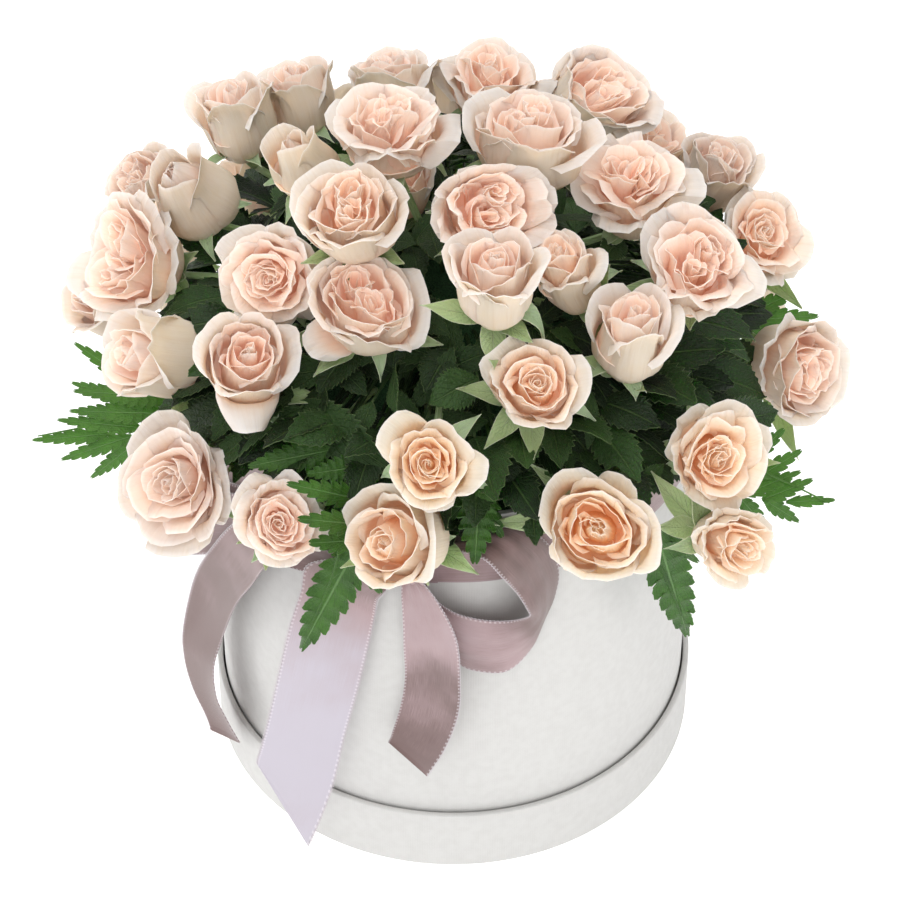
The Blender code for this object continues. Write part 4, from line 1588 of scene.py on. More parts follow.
    def _warp(self, grid: np.ndarray) -> np.ndarray:
        """Pushes points about in slow waves that all petals share, so that the bloom isn't quite round."""
        push = np.sin(grid @ self.waves.T + self.phases) @ self.pushes
        return grid + push * self.form.warp * ease(grid[..., 2:] / self.warped_by)

    def _petal(self, share: float, turn: float, guard: Guard | None) -> np.ndarray:
        """One petal for a bloom of radius 1.

        Args:
            share: 0 for the outermost petal to 1 for the heart.
            turn: The petal's direction round the bloom, in radians.
            guard: The petal's own measures, where it has them.

        Returns:
            Its middle surface: the profile by integrating its turn, the breadth as a wrap round the axis.
        """
        form = self.form
        rows, columns = PETAL_GRID.rows, PETAL_GRID.columns
        u = np.linspace(-1, 1, columns)[None, :]
        v = np.linspace(0, 1, rows)[:, None]
        shake = self.random.normal(0, form.jitter, 3) * PETAL_SHAKE
        plan = guard or Guard(
            towards=0.0,
            reach=1.0,
            foot=read_track(form.foot, share) + shake[0],
            middle=read_track(form.middle, share) + shake[1],
            lip=read_track(form.lip, share) + shake[2],
            breadth=read_track(form.breadth, share),
            lip_start=read_track(form.lip_start, share),
        )
        length = read_track(form.length, share) * self.random.normal(1, self.length_spread)
        notch = self.notch_depth * (self.random.random() - self.notch_share)
        skew, left, right, twist = self.random.normal(*PETAL_DRAWS)
        notched = notch * np.exp(-(((u - skew * 4) / self.notch_width) ** 2))
        tip = (1 - self.tip_rounding * np.abs(u) ** 3.0 - notched) * (1 + skew * u)
        rising = ease(v / read_track(form.cup, share))
        lipping = ease((v - plan.lip_start) / (1 - plan.lip_start)) ** self.lip_power
        rolled = read_track(form.roll_back, share) * np.abs(u) ** 2 * lipping * np.where(u < 0, left, right)
        risen = plan.foot + (plan.middle - plan.foot) * rising
        turned = np.radians(risen + (plan.lip - plan.middle) * lipping + rolled)
        out, height = profile(turned, length * tip / (rows - 1))
        reach = self.root_reach - self.heart_nearer * share + out
        half = plan.breadth * read_track(PETAL_BREADTHS, v) * (1 - plan.taper * v**2)
        limit = math.radians(read_track(form.wrap, share))
        wrap = limit * np.tanh(half / np.maximum(reach, self.least_wrap_reach) / limit)
        reach, height = self._shape(share, u, v, turned, reach, height)
        angle = turn + wrap * u + twist * v
        return np.stack([reach * np.cos(angle), reach * np.sin(angle), height + 0 * u], -1)

    def _shape(
        self,
        share: float,
        u: np.ndarray,
        v: np.ndarray,
        turned: np.ndarray,
        reach: np.ndarray,
        height: np.ndarray,
    ) -> tuple[np.ndarray, np.ndarray]:
        """Frills a petal's edge, rolls its sides back, folds it and tucks one side under its neighbour.

        Args:
            share: 0 for the outermost petal to 1 for the heart.
            u: How far across each column lies, from -1 to 1.
            v: How far up each row lies, from 0 to 1.
            turned: How far each point is turned off the upright, in radians.
            reach: How far from the axis each point is.
            height: How high each point is.

        Returns:
            The new reach and height.
        """
        form = self.form
        phases = self.random.uniform(0, math.tau, len(FRILL_WAVES))
        wave = sum(high * np.sin(u * rate + phase) for (rate, high), phase in zip(FRILL_WAVES, phases))
        crimped = ease((v - self.crimp_start) / (1 - self.crimp_start)) * 0.5
        crimp = np.sin(u * self.crimp_rate + phases[1]) * crimped
        away = read_track(form.frill, share) * (wave * v**3 + crimp)
        away = away + self.tuck * u * v * (1 - 0.4 * share)
        rolled = self.side_roll * (1 - share) ** 2 - self.side_cup * share
        away = away + rolled * np.abs(u) ** 3 * v**2
        folded = np.exp(-((u / self.fold_width) ** 2)) * v**self.fold_power
        away = away - read_track(form.fold, share) * folded
        reach = np.maximum(reach + away * np.cos(turned), self.least_reach)
        return reach, height - away * np.sin(turned)


CALYX_HEIGHTS = np.array([0.0, 0.0012, 0.0034, 0.0058, 0.0080, 0.0100])
CALYX_RADII = np.array([0.0014, 0.0026, 0.0038, 0.0036, 0.0050, 0.0064])


@dataclass
class Greens:
    """A bloom's calyx, its five sepals and its cut stem."""

    bloom: Bloom
    dome: Dome
    view: Viewpoint
    neck_share: float = 0.56
    usual_radius: float = 0.022
    sepals: int = 5
    sepal_length: float = 0.026
    sepal_breadth: float = 0.0048
    sepal_thickness: float = 0.0003
    sepal_nearer: float = 0.016
    first_turn: float = 52.0
    full_turn: float = 104.0
    stem_radius: float = 0.0016
    stem_rings: int = 12
    stem_sides: int = 7
    stem_steps: int = 6
    stem_flare: float = 1.15
    stem_below_neck: float = 0.002
    stem_tone: float = 0.2
    calyx_below_neck: float = 0.003
    calyx_sides: int = 12
    calyx_tone: float = 0.5
    shown_rise: float = 0.0015
    shown_reach: float = 0.0035
    shown_to_viewer: float = 0.6
    shown_broader: float = 2.3
    shown_slimness: float = 0.46
    shown_arch: Span = (10.0, 45.0)
    shown_fold: Span = (4.0, 24.0)
    shown_wave: Span = (0.05, 0.16)
    shown_curl: float = 0.08
    shown_tones: Span = (0.4, 1.0)
    sepal_shape: tuple[int, int] = (11, 5)
    length_spread: Span = (0.6, 1.1)
    fixed_share: float = 0.7
    grown_share: float = 0.3
    turn_spread: float = 24.0
    turn_limits: Span = (92.0, 150.0)
    bent_by: float = 0.8
    tip_turn: float = 20.0
    breadth_spread: Span = (0.75, 1.1)
    sepal_cup: float = 0.35
    sepal_ripple: float = 0.0006
    ripple_rate: float = 9.0
    sepal_sway: float = 0.0015
    root_reach: float = 0.0036
    root_rise: float = 0.004
    sepal_tones: Span = (0.2, 1.0)

    def add(self, mesh: PieceMesh, tips: tuple[Pixel, ...]) -> None:
        """Adds the calyx, the stem and the sepals, those that the photograph shows at their own places.

        Args:
            mesh: The piece's mesh.
            tips: The pixels at which tips of sepals are seen.
        """
        bloom = self.bloom
        neck = bloom.centre - bloom.facing * (bloom.deep * self.neck_share)
        stem_end = neck - bloom.facing * self.stem_below_neck
        route = smooth_run(self.dome.stem_route(stem_end, bloom.outward or bloom.facing), self.stem_steps)
        radii = np.linspace(self.stem_radius * self.stem_flare, self.stem_radius, self.stem_rings)
        mesh.add_tube(even_run(route, self.stem_rings), radii, self.stem_sides, tone=self.stem_tone)
        start = np.array(neck - bloom.facing * self.calyx_below_neck)
        calyx = start + np.array(bloom.facing) * CALYX_HEIGHTS[:, None]
        radii = CALYX_RADII * (bloom.radius / self.usual_radius)
        mesh.add_tube(calyx, radii, self.calyx_sides, tone=self.calyx_tone)
        for tip in tips:
            self._shown_sepal(mesh, neck, tip)
        for index in range(len(tips), self.sepals):
            self._sepal(mesh, index * math.tau / self.sepals + bloom.seed)

    def _shown_sepal(self, mesh: PieceMesh, neck: Vector, tip: Pixel) -> None:
        """Adds a sepal whose tip is seen at a pixel.

        Args:
            mesh: The piece's mesh.
            neck: The middle of the bloom's neck.
            tip: The pixel of its tip.
        """
        bloom, random = self.bloom, self.bloom.random
        ray = self.view.ray(tip)
        near = (neck - self.view.eye).dot(ray)
        end = self.view.eye + ray * (near - self.sepal_nearer)
        out = end - neck
        out = out - bloom.facing * out.dot(bloom.facing)
        root = neck + bloom.facing * self.shown_rise + out.normalized() * self.shown_reach
        to_viewer = self.shown_to_viewer
        Blade(
            root,
            end,
            self.view.to_viewer * to_viewer + bloom.facing * (1 - to_viewer),
            min(self.sepal_breadth * self.shown_broader, (end - root).length * self.shown_slimness),
            outline=SEPAL_OUTLINE,
            edge=SMOOTH_EDGE,
            teeth=1,
            arch=-random.uniform(*self.shown_arch),
            fold=random.uniform(*self.shown_fold),
            wave=random.uniform(*self.shown_wave),
            curl=random.normal(0, self.shown_curl),
            tone=random.uniform(*self.shown_tones),
            seed=int(random.integers(SEEDS)),
        ).add(mesh)

    def _sepal(self, mesh: PieceMesh, turn: float) -> None:
        """Adds one sepal: a long pointed leaf that lies along the bloom and then bends back.

        Args:
            mesh: The piece's mesh.
            turn: Its direction round the bloom, in radians.
        """
        bloom, random = self.bloom, self.bloom.random
        rows, columns = self.sepal_shape
        u = np.linspace(-1, 1, columns)[None, :]
        v = np.linspace(0, 1, rows)[:, None]
        grown = self.fixed_share + self.grown_share * bloom.radius / self.usual_radius
        length = self.sepal_length * random.uniform(*self.length_spread) * grown
        bend = float(np.clip(self.full_turn + random.normal(0, self.turn_spread), *self.turn_limits))
        bent = self.first_turn + (bend - self.first_turn) * ease(v / self.bent_by) + self.tip_turn * v**2
        turned = np.radians(bent) + 0 * u
        out, height = profile(turned, length / (rows - 1))
        half = self.sepal_breadth * random.uniform(*self.breadth_spread) * read_track(SEPAL_OUTLINE, v)
        ripple = self.sepal_ripple * np.sin(v * self.ripple_rate + turn * 3) * u
        away = half * self.sepal_cup * (u**2) + ripple
        reach = self.root_reach + out - away * np.cos(turned)
        height = height + away * np.sin(turned)
        sideways = half * u + self.sepal_sway * np.sin(v * 3 + bloom.seed + turn)
        cos, sin = math.cos(turn), math.sin(turn)
        local = np.stack([reach * cos - sideways * sin, reach * sin + sideways * cos, height + 0 * u], -1)
        base = np.array(bloom.centre - bloom.facing * (bloom.deep * self.neck_share - self.root_rise))
        tone = random.uniform(*self.sepal_tones)
        mesh.add_sheet(local @ bloom.axes + base, self.sepal_thickness, tone=tone)


@dataclass(frozen=True)
class BackSpray:
    """A forked stem behind the dome with two blooms, each as (compass, down from the top, across)."""

    number: int
    upper: Triple
    lower: Triple
    kinds: tuple[BloomKind, BloomKind] = (RUFFLED, SWIRL)

    @property
    def name(self) -> str:
        """The spray's CAD node."""
        return f"back_spray_{self.number}"


BACK_SPRAYS = (
    BackSpray(1, (48, 80, 0.042), (30, 84, 0.040), (RUFFLED, HALF_OPEN)),
    BackSpray(2, (70, 60, 0.044), (66, 79, 0.042), (SWIRL, RUFFLED)),
    BackSpray(3, (91, 60, 0.044), (84, 79, 0.042)),
    BackSpray(4, (112, 62, 0.042), (108, 79, 0.042), (SWIRL, RUFFLED)),
    BackSpray(5, (128, 72, 0.042), (149, 80, 0.038), (RUFFLED, HALF_OPEN)),
)


@dataclass
class RoseGarden:
    """Every bloom of the dome, with its greens."""

    view: Viewpoint
    dome: Dome
    petal: Material
    sepal: Material
    back_depth: float = 0.036
    back_warmth: float = 0.3
    first_back_seed: int = 100
    slack: float = 0.001
    sharp: float = 50.0
    blooms: list[Bloom] = field(default_factory=list)

    def build(self) -> None:
        """Builds each rose as a piece of petals and a piece of greens."""
        for rose in ROSES:
            self._build_one(rose.name, [self._front_bloom(rose)], rose.sepals)
        for spray in BACK_SPRAYS:
            blooms = []
            for index, (compass, down, across) in enumerate((spray.upper, spray.lower)):
                centre, facing = self.dome.by_angles(compass, down)
                seed = self.first_back_seed + 2 * spray.number + index
                kind = spray.kinds[index]
                blooms.append(Bloom(centre, facing, across, self.back_depth, kind, seed, self.back_warmth))
            self._build_one(spray.name, blooms)

    def _front_bloom(self, rose: Rose) -> Bloom:
        """The bloom of a rose that the photograph shows, where its node is.

        Args:
            rose: The rose.

        Returns:
            Its bloom.
        """
        centre = self.dome.seen_on(self.view, rose.seen_at, rose.lift, rose.behind)
        low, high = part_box(rose.name)
        if not all(a - self.slack < c < b + self.slack for a, c, b in zip(low, centre, high)):
            raise ValueError(f"{rose.name} isn't where its node is")
        aside = ACROSS * rose.nudge[0] - self.view.picture_up * rose.nudge[1]
        return Bloom(
            centre + aside * (self.view.distance / self.view.focal_pixels),
            rose.facing(self.view),
            rose.across,
            rose.deep,
            rose.kind,
            seed=rose.number,
            warmth=rose.warmth,
            dust=rose.dust,
            guards=rose.guards,
            outward=self.dome.outward(centre),
            tall=rose.tall,
        )

    def _build_one(self, name: str, blooms: list[Bloom], sepals: tuple[Pixel, ...] = ()) -> None:
        """Builds the petals and the greens that stand for one node.

        Args:
            name: The node's name, which its pieces' names start with.
            blooms: Its blooms.
            sepals: The pixels at which tips of its sepals are seen.
        """
        petals, greens = PieceMesh("heart", "warmth", "dust"), PieceMesh("tone")
        self.blooms += blooms
        for bloom in blooms:
            bloom.petals(petals)
            Greens(bloom, self.dome, self.view).add(greens, sepals)
        piece = petals.build(f"{name}_petals", self.petal, self.sharp)
        hand_over(piece, name)
        hand_over(greens.build(f"{name}_greens", self.sepal, self.sharp), name)
        LOG.info("%s: %d petal faces", name, len(piece.data.polygons))


# Leaves
@dataclass(frozen=True)
class EdgeStyle:
    """One tooth or lobe of a leaf's edge, as (share of its length, how far out), and its depth and sweep."""

    steps: Track
    depth: float
    sweep: float
    inner: float
    ridge: float = 0.0


FINE_TEETH = EdgeStyle(((0.0, 0.0), (0.85, 1.0)), depth=0.17, sweep=0.8, inner=3.5)
FERN_LOBES = EdgeStyle(
    ((0, 0.0), (0.16, 0.42), (0.34, 0.66), (0.42, 0.62), (0.6, 0.9), (0.68, 0.86), (0.84, 1.0), (0.97, 0.7)),
    depth=0.44,
    sweep=0.75,
    inner=1.3,
    ridge=0.10,
)
FERN_TEETH = EdgeStyle(
    ((0.0, 0.0), (0.22, 0.55), (0.45, 0.82), (0.72, 1.0), (0.96, 0.75)),
    depth=0.40,
    sweep=0.9,
    inner=1.5,
    ridge=0.08,
)
SMOOTH_EDGE = EdgeStyle(tuple((tenth / 10, 0.0) for tenth in range(10)), depth=0.0, sweep=0.0, inner=1.0)
SEPAL_OUTLINE = ((0, 0.50), (0.14, 0.88), (0.32, 1.0), (0.52, 0.84), (0.74, 0.44), (0.9, 0.14), (1, 0.02))
ROSE_LEAF_OUTLINE = (
    *((0, 0.06), (0.08, 0.42), (0.24, 0.84), (0.42, 1.0)),
    *((0.62, 0.92), (0.82, 0.56), (0.94, 0.22), (1, 0.02)),
)
FERN_OUTLINE = ((0, 0.30), (0.10, 0.72), (0.25, 1.0), (0.45, 0.92), (0.68, 0.66), (0.88, 0.34), (1, 0.05))


@dataclass
class Blade:
    """A leaf blade that runs from its root to its tip, with its face towards a direction."""

    root: Vector | np.ndarray
    tip: Vector | np.ndarray
    face: Vector | np.ndarray
    breadth: float
    outline: Track = ROSE_LEAF_OUTLINE
    edge: EdgeStyle = FINE_TEETH
    teeth: int = 9
    arch: float = 30.0
    fold: float = 20.0
    wave: float = 0.05
    curl: float = 0.0
    tone: float = 0.5
    seed: int = 0
    columns: int = 7
    thickness: float = 0.00028

    def add(self, mesh: PieceMesh) -> None:
        """Adds the blade to a piece.

        Args:
            mesh: The piece's mesh.
        """
        root, edge = np.array(self.root), self.edge
        along = np.array(self.tip) - root
        length = float(np.linalg.norm(along))
        along = along / length
        across = unit_rows(np.cross(along, self.face))
        steps, outs = np.array(edge.steps).T
        v = np.append((np.arange(self.teeth)[:, None] + steps).ravel() / self.teeth, 1.0)[:, None]
        out = np.append(np.tile(outs, self.teeth), 0.0)[:, None]
        phase = np.append(np.tile(steps, self.teeth), 1.0)[:, None]
        u = np.linspace(-1, 1, self.columns)[None, :]
        side = np.abs(u)
        turn = math.radians(self.arch) * (0.5 - v)
        step = np.diff(v[:, 0], prepend=0.0)[:, None] * length
        forward = np.cumsum(np.cos(turn) * step, axis=0)
        forward *= length / forward[-1]
        toothed = edge.depth * side**edge.inner
        half = self.breadth / 2 * read_track(self.outline, v) * (1 - toothed * (1 - out))
        fold = math.radians(self.fold)
        sway = math.sin(self.seed * 12.9898) * 3
        x = half * u * math.cos(fold) + length * self.curl * (v**2)
        y = forward + edge.sweep * length / self.teeth * out * toothed
        z = np.cumsum(np.sin(turn) * step, axis=0) + half * side * math.sin(fold) * (1 - 0.5 * side)
        z = z + self.breadth * self.wave * np.sin(v * 8 + sway + u * 1.3) * side**2
        z = z - self.breadth * edge.ridge * (1 - np.cos(phase * math.tau)) * 0.5 * side
        grid = root + x[..., None] * across + y[..., None] * along + z[..., None] * np.cross(across, along)
        mesh.add_sheet(grid, self.thickness, tone=self.tone)


@dataclass(frozen=True)
class SeenLeaf:
    """A rose leaf that the photograph shows in a gap, from its root to its tip."""

    root: Pixel
    root_lift: float
    tip: Pixel
    tip_lift: float
    breadth: float
    tone: float
    lean: float = 0.0


SEEN_LEAVES = (
    SeenLeaf((300, 408), -0.022, (205, 474), -0.006, 0.020, 0.55, 30),
    SeenLeaf((398, 362), -0.020, (398, 415), -0.008, 0.014, 0.45, 60),
    SeenLeaf((478, 378), -0.022, (430, 404), -0.018, 0.020, 0.75),
    SeenLeaf((300, 402), -0.024, (390, 470), -0.014, 0.024, 0.45),
    SeenLeaf((372, 402), -0.024, (360, 436), -0.020, 0.010, 0.5),
    SeenLeaf((590, 392), -0.022, (588, 449), -0.016, 0.008, 0.5),
    SeenLeaf((632, 466), -0.020, (545, 474), -0.016, 0.012, 0.85, -50),
    SeenLeaf((632, 486), -0.018, (664, 464), -0.012, 0.010, 0.8),
    SeenLeaf((690, 350), -0.024, (634, 384), -0.018, 0.018, 0.35),
    SeenLeaf((720, 345), -0.026, (668, 350), -0.022, 0.018, 0.3),
    SeenLeaf((655, 400), -0.026, (600, 430), -0.022, 0.020, 0.2),
    SeenLeaf((700, 395), -0.026, (650, 425), -0.022, 0.020, 0.2),
    SeenLeaf((335, 415), -0.024, (296, 452), -0.018, 0.020, 0.3),
    SeenLeaf((360, 340), -0.024, (318, 392), -0.020, 0.020, 0.2),
    SeenLeaf((450, 350), -0.026, (425, 392), -0.022, 0.018, 0.2),
    SeenLeaf((240, 330), -0.024, (200, 300), -0.020, 0.018, 0.3),
    SeenLeaf((430, 230), -0.024, (440, 262), -0.020, 0.016, 0.35),
    SeenLeaf((620, 240), -0.024, (600, 262), -0.020, 0.014, 0.6),
    SeenLeaf((690, 330), -0.020, (742, 322), -0.016, 0.018, 0.2),
    SeenLeaf((760, 296), -0.016, (740, 330), -0.016, 0.016, 0.3),
    SeenLeaf((560, 420), -0.026, (600, 470), -0.022, 0.020, 0.1),
    SeenLeaf((500, 455), -0.022, (500, 500), -0.016, 0.020, 0.1),
    SeenLeaf((245, 392), -0.022, (182, 424), -0.012, 0.022, 0.3),
    SeenLeaf((240, 375), -0.024, (186, 398), -0.016, 0.020, 0.2),
    SeenLeaf((696, 372), -0.024, (766, 396), -0.014, 0.024, 0.3),
    SeenLeaf((688, 404), -0.024, (752, 430), -0.016, 0.022, 0.25),
    SeenLeaf((700, 350), -0.024, (765, 366), -0.016, 0.020, 0.2),
    SeenLeaf((238, 408), -0.020, (172, 438), -0.010, 0.020, 0.3),
    SeenLeaf((232, 436), -0.018, (186, 456), -0.010, 0.018, 0.2),
    SeenLeaf((690, 236), -0.024, (722, 208), -0.018, 0.020, 0.2),
    SeenLeaf((700, 425), -0.020, (778, 412), -0.010, 0.022, 0.3),
    SeenLeaf((620, 446), -0.020, (672, 492), -0.012, 0.022, 0.2),
    SeenLeaf((640, 436), -0.022, (694, 478), -0.014, 0.022, 0.1),
    SeenLeaf((610, 462), -0.020, (648, 512), -0.010, 0.020, 0.15),
    SeenLeaf((316, 240), -0.024, (280, 212), -0.020, 0.020, 0.2),
    SeenLeaf((222, 398), -0.020, (158, 408), -0.008, 0.020, 0.3),
)


@dataclass(frozen=True)
class RimTier:
    """A round of leaves over the box's rim: how far out and up they start, their drop and their length."""

    reach: float
    height: float
    drop: float
    length: float


RIM_TIERS = (
    RimTier(0.097, 0.227, -0.012, 0.030),
    RimTier(0.100, 0.238, -0.004, 0.034),
    RimTier(0.092, 0.246, 0.006, 0.036),
)


@dataclass
class Foliage:
    """The rose leaves between and below the blooms."""

    view: Viewpoint
    dome: Dome
    leaf: Material
    blooms: list[Bloom]
    sprays: int = 96
    inner_radius: float = 0.098
    outer_radius: float = 0.127
    outline_reach: float = 0.012
    spray_above_rim: float = 0.008
    leaf_above_rim: float = 0.004
    rachis_length: float = 0.026
    rachis_radius: float = 0.0006
    rachis_rings: int = 4
    rachis_sides: int = 5
    rachis_rise: Span = (0.25, 0.75)
    petiole_rings: int = 9
    petiole_sides: int = 6
    petiole_steps: int = 5
    petiole_radii: Span = (0.0011, 0.0006)
    petiole_tone: float = 0.5
    seen_teeth: int = 13
    columns: int = 5
    arch: Span = (20.0, 50.0)
    wave: Span = (0.02, 0.07)
    rim_leaves: int = 44
    tier_shift: float = 0.37
    rim_turn: float = 0.35
    rim_side: float = 0.45
    rim_rise: Span = (-0.003, 0.004)
    rim_drop: Span = (-0.004, 0.006)
    rim_length: Span = (0.75, 1.15)
    rim_breadth: Span = (0.55, 0.70)
    rim_fold: Span = (8.0, 24.0)
    rim_outward: float = 0.5
    rim_tumble: float = 0.25
    rim_tone: float = 0.6
    spray_margin: float = 0.012
    spray_cover: float = 0.80
    spray_depth_light_and_youth: Span = (0.25, 0.7)
    end_leaflet: float = 0.034
    leaflet_pairs: tuple[Triple, ...] = ((0.62, 0.55, 0.028), (0.10, 0.35, 0.024))
    leaflet_size: Span = (0.70, 1.05)
    leaflet_droop: Span = (-0.1, 0.35)
    leaflet_breadth: Span = (0.44, 0.58)
    leaflet_fold: Span = (8.0, 26.0)
    leaflet_tumble: float = 0.28
    leaflet_tone: float = 0.12
    sharp: float = 40.0
    random: np.random.Generator = field(default_factory=lambda: np.random.default_rng(7))

    def build(self) -> None:
        """Builds the leaves that the photograph shows, then fills the dome and lays some over the rim."""
        for index, seen in enumerate(SEEN_LEAVES):
            mesh = PieceMesh("tone")
            self._seen(mesh, seen, index)
            self._keep(mesh, f"shown_leaf_{index + 1:02d}")
        for index in range(self.sprays):
            mesh = PieceMesh("tone")
            self._spray(mesh, index)
            if mesh.count:
                self._keep(mesh, f"leaf_spray_{index + 1:02d}")
        for number, tier in enumerate(RIM_TIERS):
            for index in range(self.rim_leaves):
                mesh = PieceMesh("tone")
                self._over_rim(mesh, index + self.tier_shift * number, tier)
                self._keep(mesh, f"rim_leaf_{number + 1}_{index + 1:02d}")

    def _keep(self, mesh: PieceMesh, name: str) -> None:
        """Makes the piece, clear of every bloom's inside, and has it ride.

        Args:
            mesh: The piece's mesh.
            name: The piece's name.
        """
        for points in mesh.points:
            for bloom in self.blooms:
                bloom.keep_out(points)
        hand_over(mesh.build(name, self.leaf, self.sharp))

    def _petiole(self, mesh: PieceMesh, facing: Vector, end: Vector, tone: float) -> None:
        """Adds a leaf's own stalk, from the foam to the leaf.

        Args:
            mesh: The piece's mesh.
            facing: The way out of the dome there.
            end: Where the leaf starts.
            tone: How pale it is, from 0 to 1, as a young leaf is paler and as painted light and shade.
        """
        route = smooth_run(self.dome.stem_route(end, facing), self.petiole_steps)
        radii = np.linspace(*self.petiole_radii, self.petiole_rings)
        mesh.add_tube(even_run(route, self.petiole_rings), radii, self.petiole_sides, tone=tone)

    def _seen(self, mesh: PieceMesh, seen: SeenLeaf, index: int) -> None:
        """Adds one leaf that the photograph shows.

        Args:
            mesh: The piece's mesh.
            seen: The leaf.
            index: Its number.
        """
        root = self.dome.seen_on(self.view, seen.root, seen.root_lift)
        tip = self.dome.seen_on(self.view, seen.tip, seen.tip_lift)
        outward = self.dome.outward((root + tip) * 0.5)
        along = (tip - root).normalized()
        face = (outward - along * outward.dot(along)).normalized()
        turn = math.radians(seen.lean)
        face = face * math.cos(turn) + along.cross(face) * math.sin(turn)
        self._petiole(mesh, self.dome.outward(root), root, self.petiole_tone)
        Blade(root, tip, face, seen.breadth, teeth=self.seen_teeth, tone=seen.tone, seed=index).add(mesh)

    def _over_rim(self, mesh: PieceMesh, place: float, tier: RimTier) -> None:
        """Adds one leaf that lies over the box's rim, from inside the box outwards.

        Args:
            mesh: The piece's mesh.
            place: Its place in the round, counted in leaves.
            tier: The round that it is in.
        """
        random = self.random
        turn = (place + random.uniform(-self.rim_turn, self.rim_turn)) * math.tau / self.rim_leaves
        side = turn + random.uniform(-self.rim_side, self.rim_side)
        outward = np.array([math.cos(turn), math.sin(turn), 0.0])
        root = outward * tier.reach + np.array([0.0, 0.0, tier.height + random.uniform(*self.rim_rise)])
        length = tier.length * random.uniform(*self.rim_length)
        drop = tier.drop + random.uniform(*self.rim_drop)
        tip = root + np.array([math.cos(side) * length, math.sin(side) * length, drop])
        tone = self.rim_tone * random.uniform() ** 2
        self._petiole(mesh, self.dome.outward(Vector(root)), Vector(root), tone)
        Blade(
            root,
            tip,
            outward * self.rim_outward + np.array(UPWARD) + random.normal(0, self.rim_tumble, 3),
            length * random.uniform(*self.rim_breadth),
            arch=random.uniform(*self.arch),
            fold=random.uniform(*self.rim_fold),
            wave=random.uniform(*self.wave),
            tone=tone,
            seed=int(random.integers(SEEDS)),
            columns=self.columns,
        ).add(mesh)

    def _spray(self, mesh: PieceMesh, index: int) -> None:
        """Adds one spray of five leaflets on a stalk from the foam.

        Args:
            mesh: The piece's mesh.
            index: Its number.
        """
        random = self.random
        height = 1 - (index + 0.5) / self.sprays * self.spray_cover
        turn = index * GOLDEN_TURN
        flat = math.sqrt(1 - height**2)
        facing = Vector((flat * math.cos(turn), flat * math.sin(turn), height))
        radius = random.uniform(self.inner_radius, self.outer_radius - self.spray_margin)
        base = Vector(self.dome.centre) + facing * radius
        tangent = facing.orthogonal().normalized()
        spin = random.uniform(0, math.tau)
        tangent = tangent * math.cos(spin) + facing.cross(tangent) * math.sin(spin)
        # Painted shade: sprays deeper in the dome get a darker green and those further out a paler one; the
        # random part is young, paler leaves.
        outer = (radius - self.inner_radius) / (self.outer_radius - self.inner_radius)
        painted_depth_light, young_tone = self.spray_depth_light_and_youth
        tone = painted_depth_light * outer + young_tone * random.uniform() ** 3
        if base.z < self.dome.wall_top + self.spray_above_rim:
            return
        self._petiole(mesh, facing, base, tone)
        rachis = (tangent + facing * random.uniform(*self.rachis_rise)).normalized()
        end = base + rachis * self.rachis_length
        line = even_run([base, base.lerp(end, 0.5), end], self.rachis_rings)
        mesh.add_tube(line, np.full(len(line), self.rachis_radius), self.rachis_sides, tone=tone)
        side = rachis.cross(facing).normalized()
        self._leaflet(mesh, end, rachis, facing, self.end_leaflet, tone)
        for share, forward, size in self.leaflet_pairs:
            for way in (1, -1):
                self._leaflet(mesh, base.lerp(end, share), rachis * forward + side * way, facing, size, tone)

    def _leaflet(
        self, mesh: PieceMesh, place: Vector, aim: Vector, facing: Vector, size: float, tone: float
    ) -> None:
        """Adds one leaflet of a spray, drooping back onto the dome.

        Args:
            mesh: The piece's mesh.
            place: Where it starts.
            aim: The way it points.
            facing: The way out of the dome.
            size: Its length.
            tone: How pale it is, from 0 to 1, as a young leaf is paler and as painted light and shade.
        """
        random = self.random
        size *= random.uniform(*self.leaflet_size)
        aim = (aim - facing * random.uniform(*self.leaflet_droop)).normalized()
        tip = place + aim * size
        out = tip - Vector(self.dome.centre)
        limit = self.outer_radius + self.outline_reach * (1 - abs(out.normalized().dot(self.view.to_viewer)))
        if out.length > limit:
            tip = Vector(self.dome.centre) + out * (limit / out.length)
        if min(tip.z, place.z) < self.dome.wall_top + self.leaf_above_rim:
            return
        Blade(
            place,
            tip,
            facing + Vector(random.normal(0, self.leaflet_tumble, 3)),
            size * random.uniform(*self.leaflet_breadth),
            arch=random.uniform(*self.arch),
            fold=random.uniform(*self.leaflet_fold),
            wave=random.uniform(*self.wave),
            tone=np.clip(tone + random.normal(0, self.leaflet_tone), 0, 1),
            seed=int(random.integers(SEEDS)),
            columns=self.columns,
        ).add(mesh)


# Fern
@dataclass(frozen=True)
class Pinna:
    """A side leaf of a fern frond: its root and tip as seen, how far forward each is, and its breadth."""

    root: Pixel
    root_forward: float
    tip: Pixel
    tip_forward: float
    breadth: float
    lobes: int
    fine: bool


@dataclass(frozen=True)
class Frond:
    """A fern frond: its rib as CAD has it, and its side leaves."""

    name: str
    rib: tuple[tuple[Pixel, float], ...]
    pinnae: tuple[Pinna, ...]
    tone: float


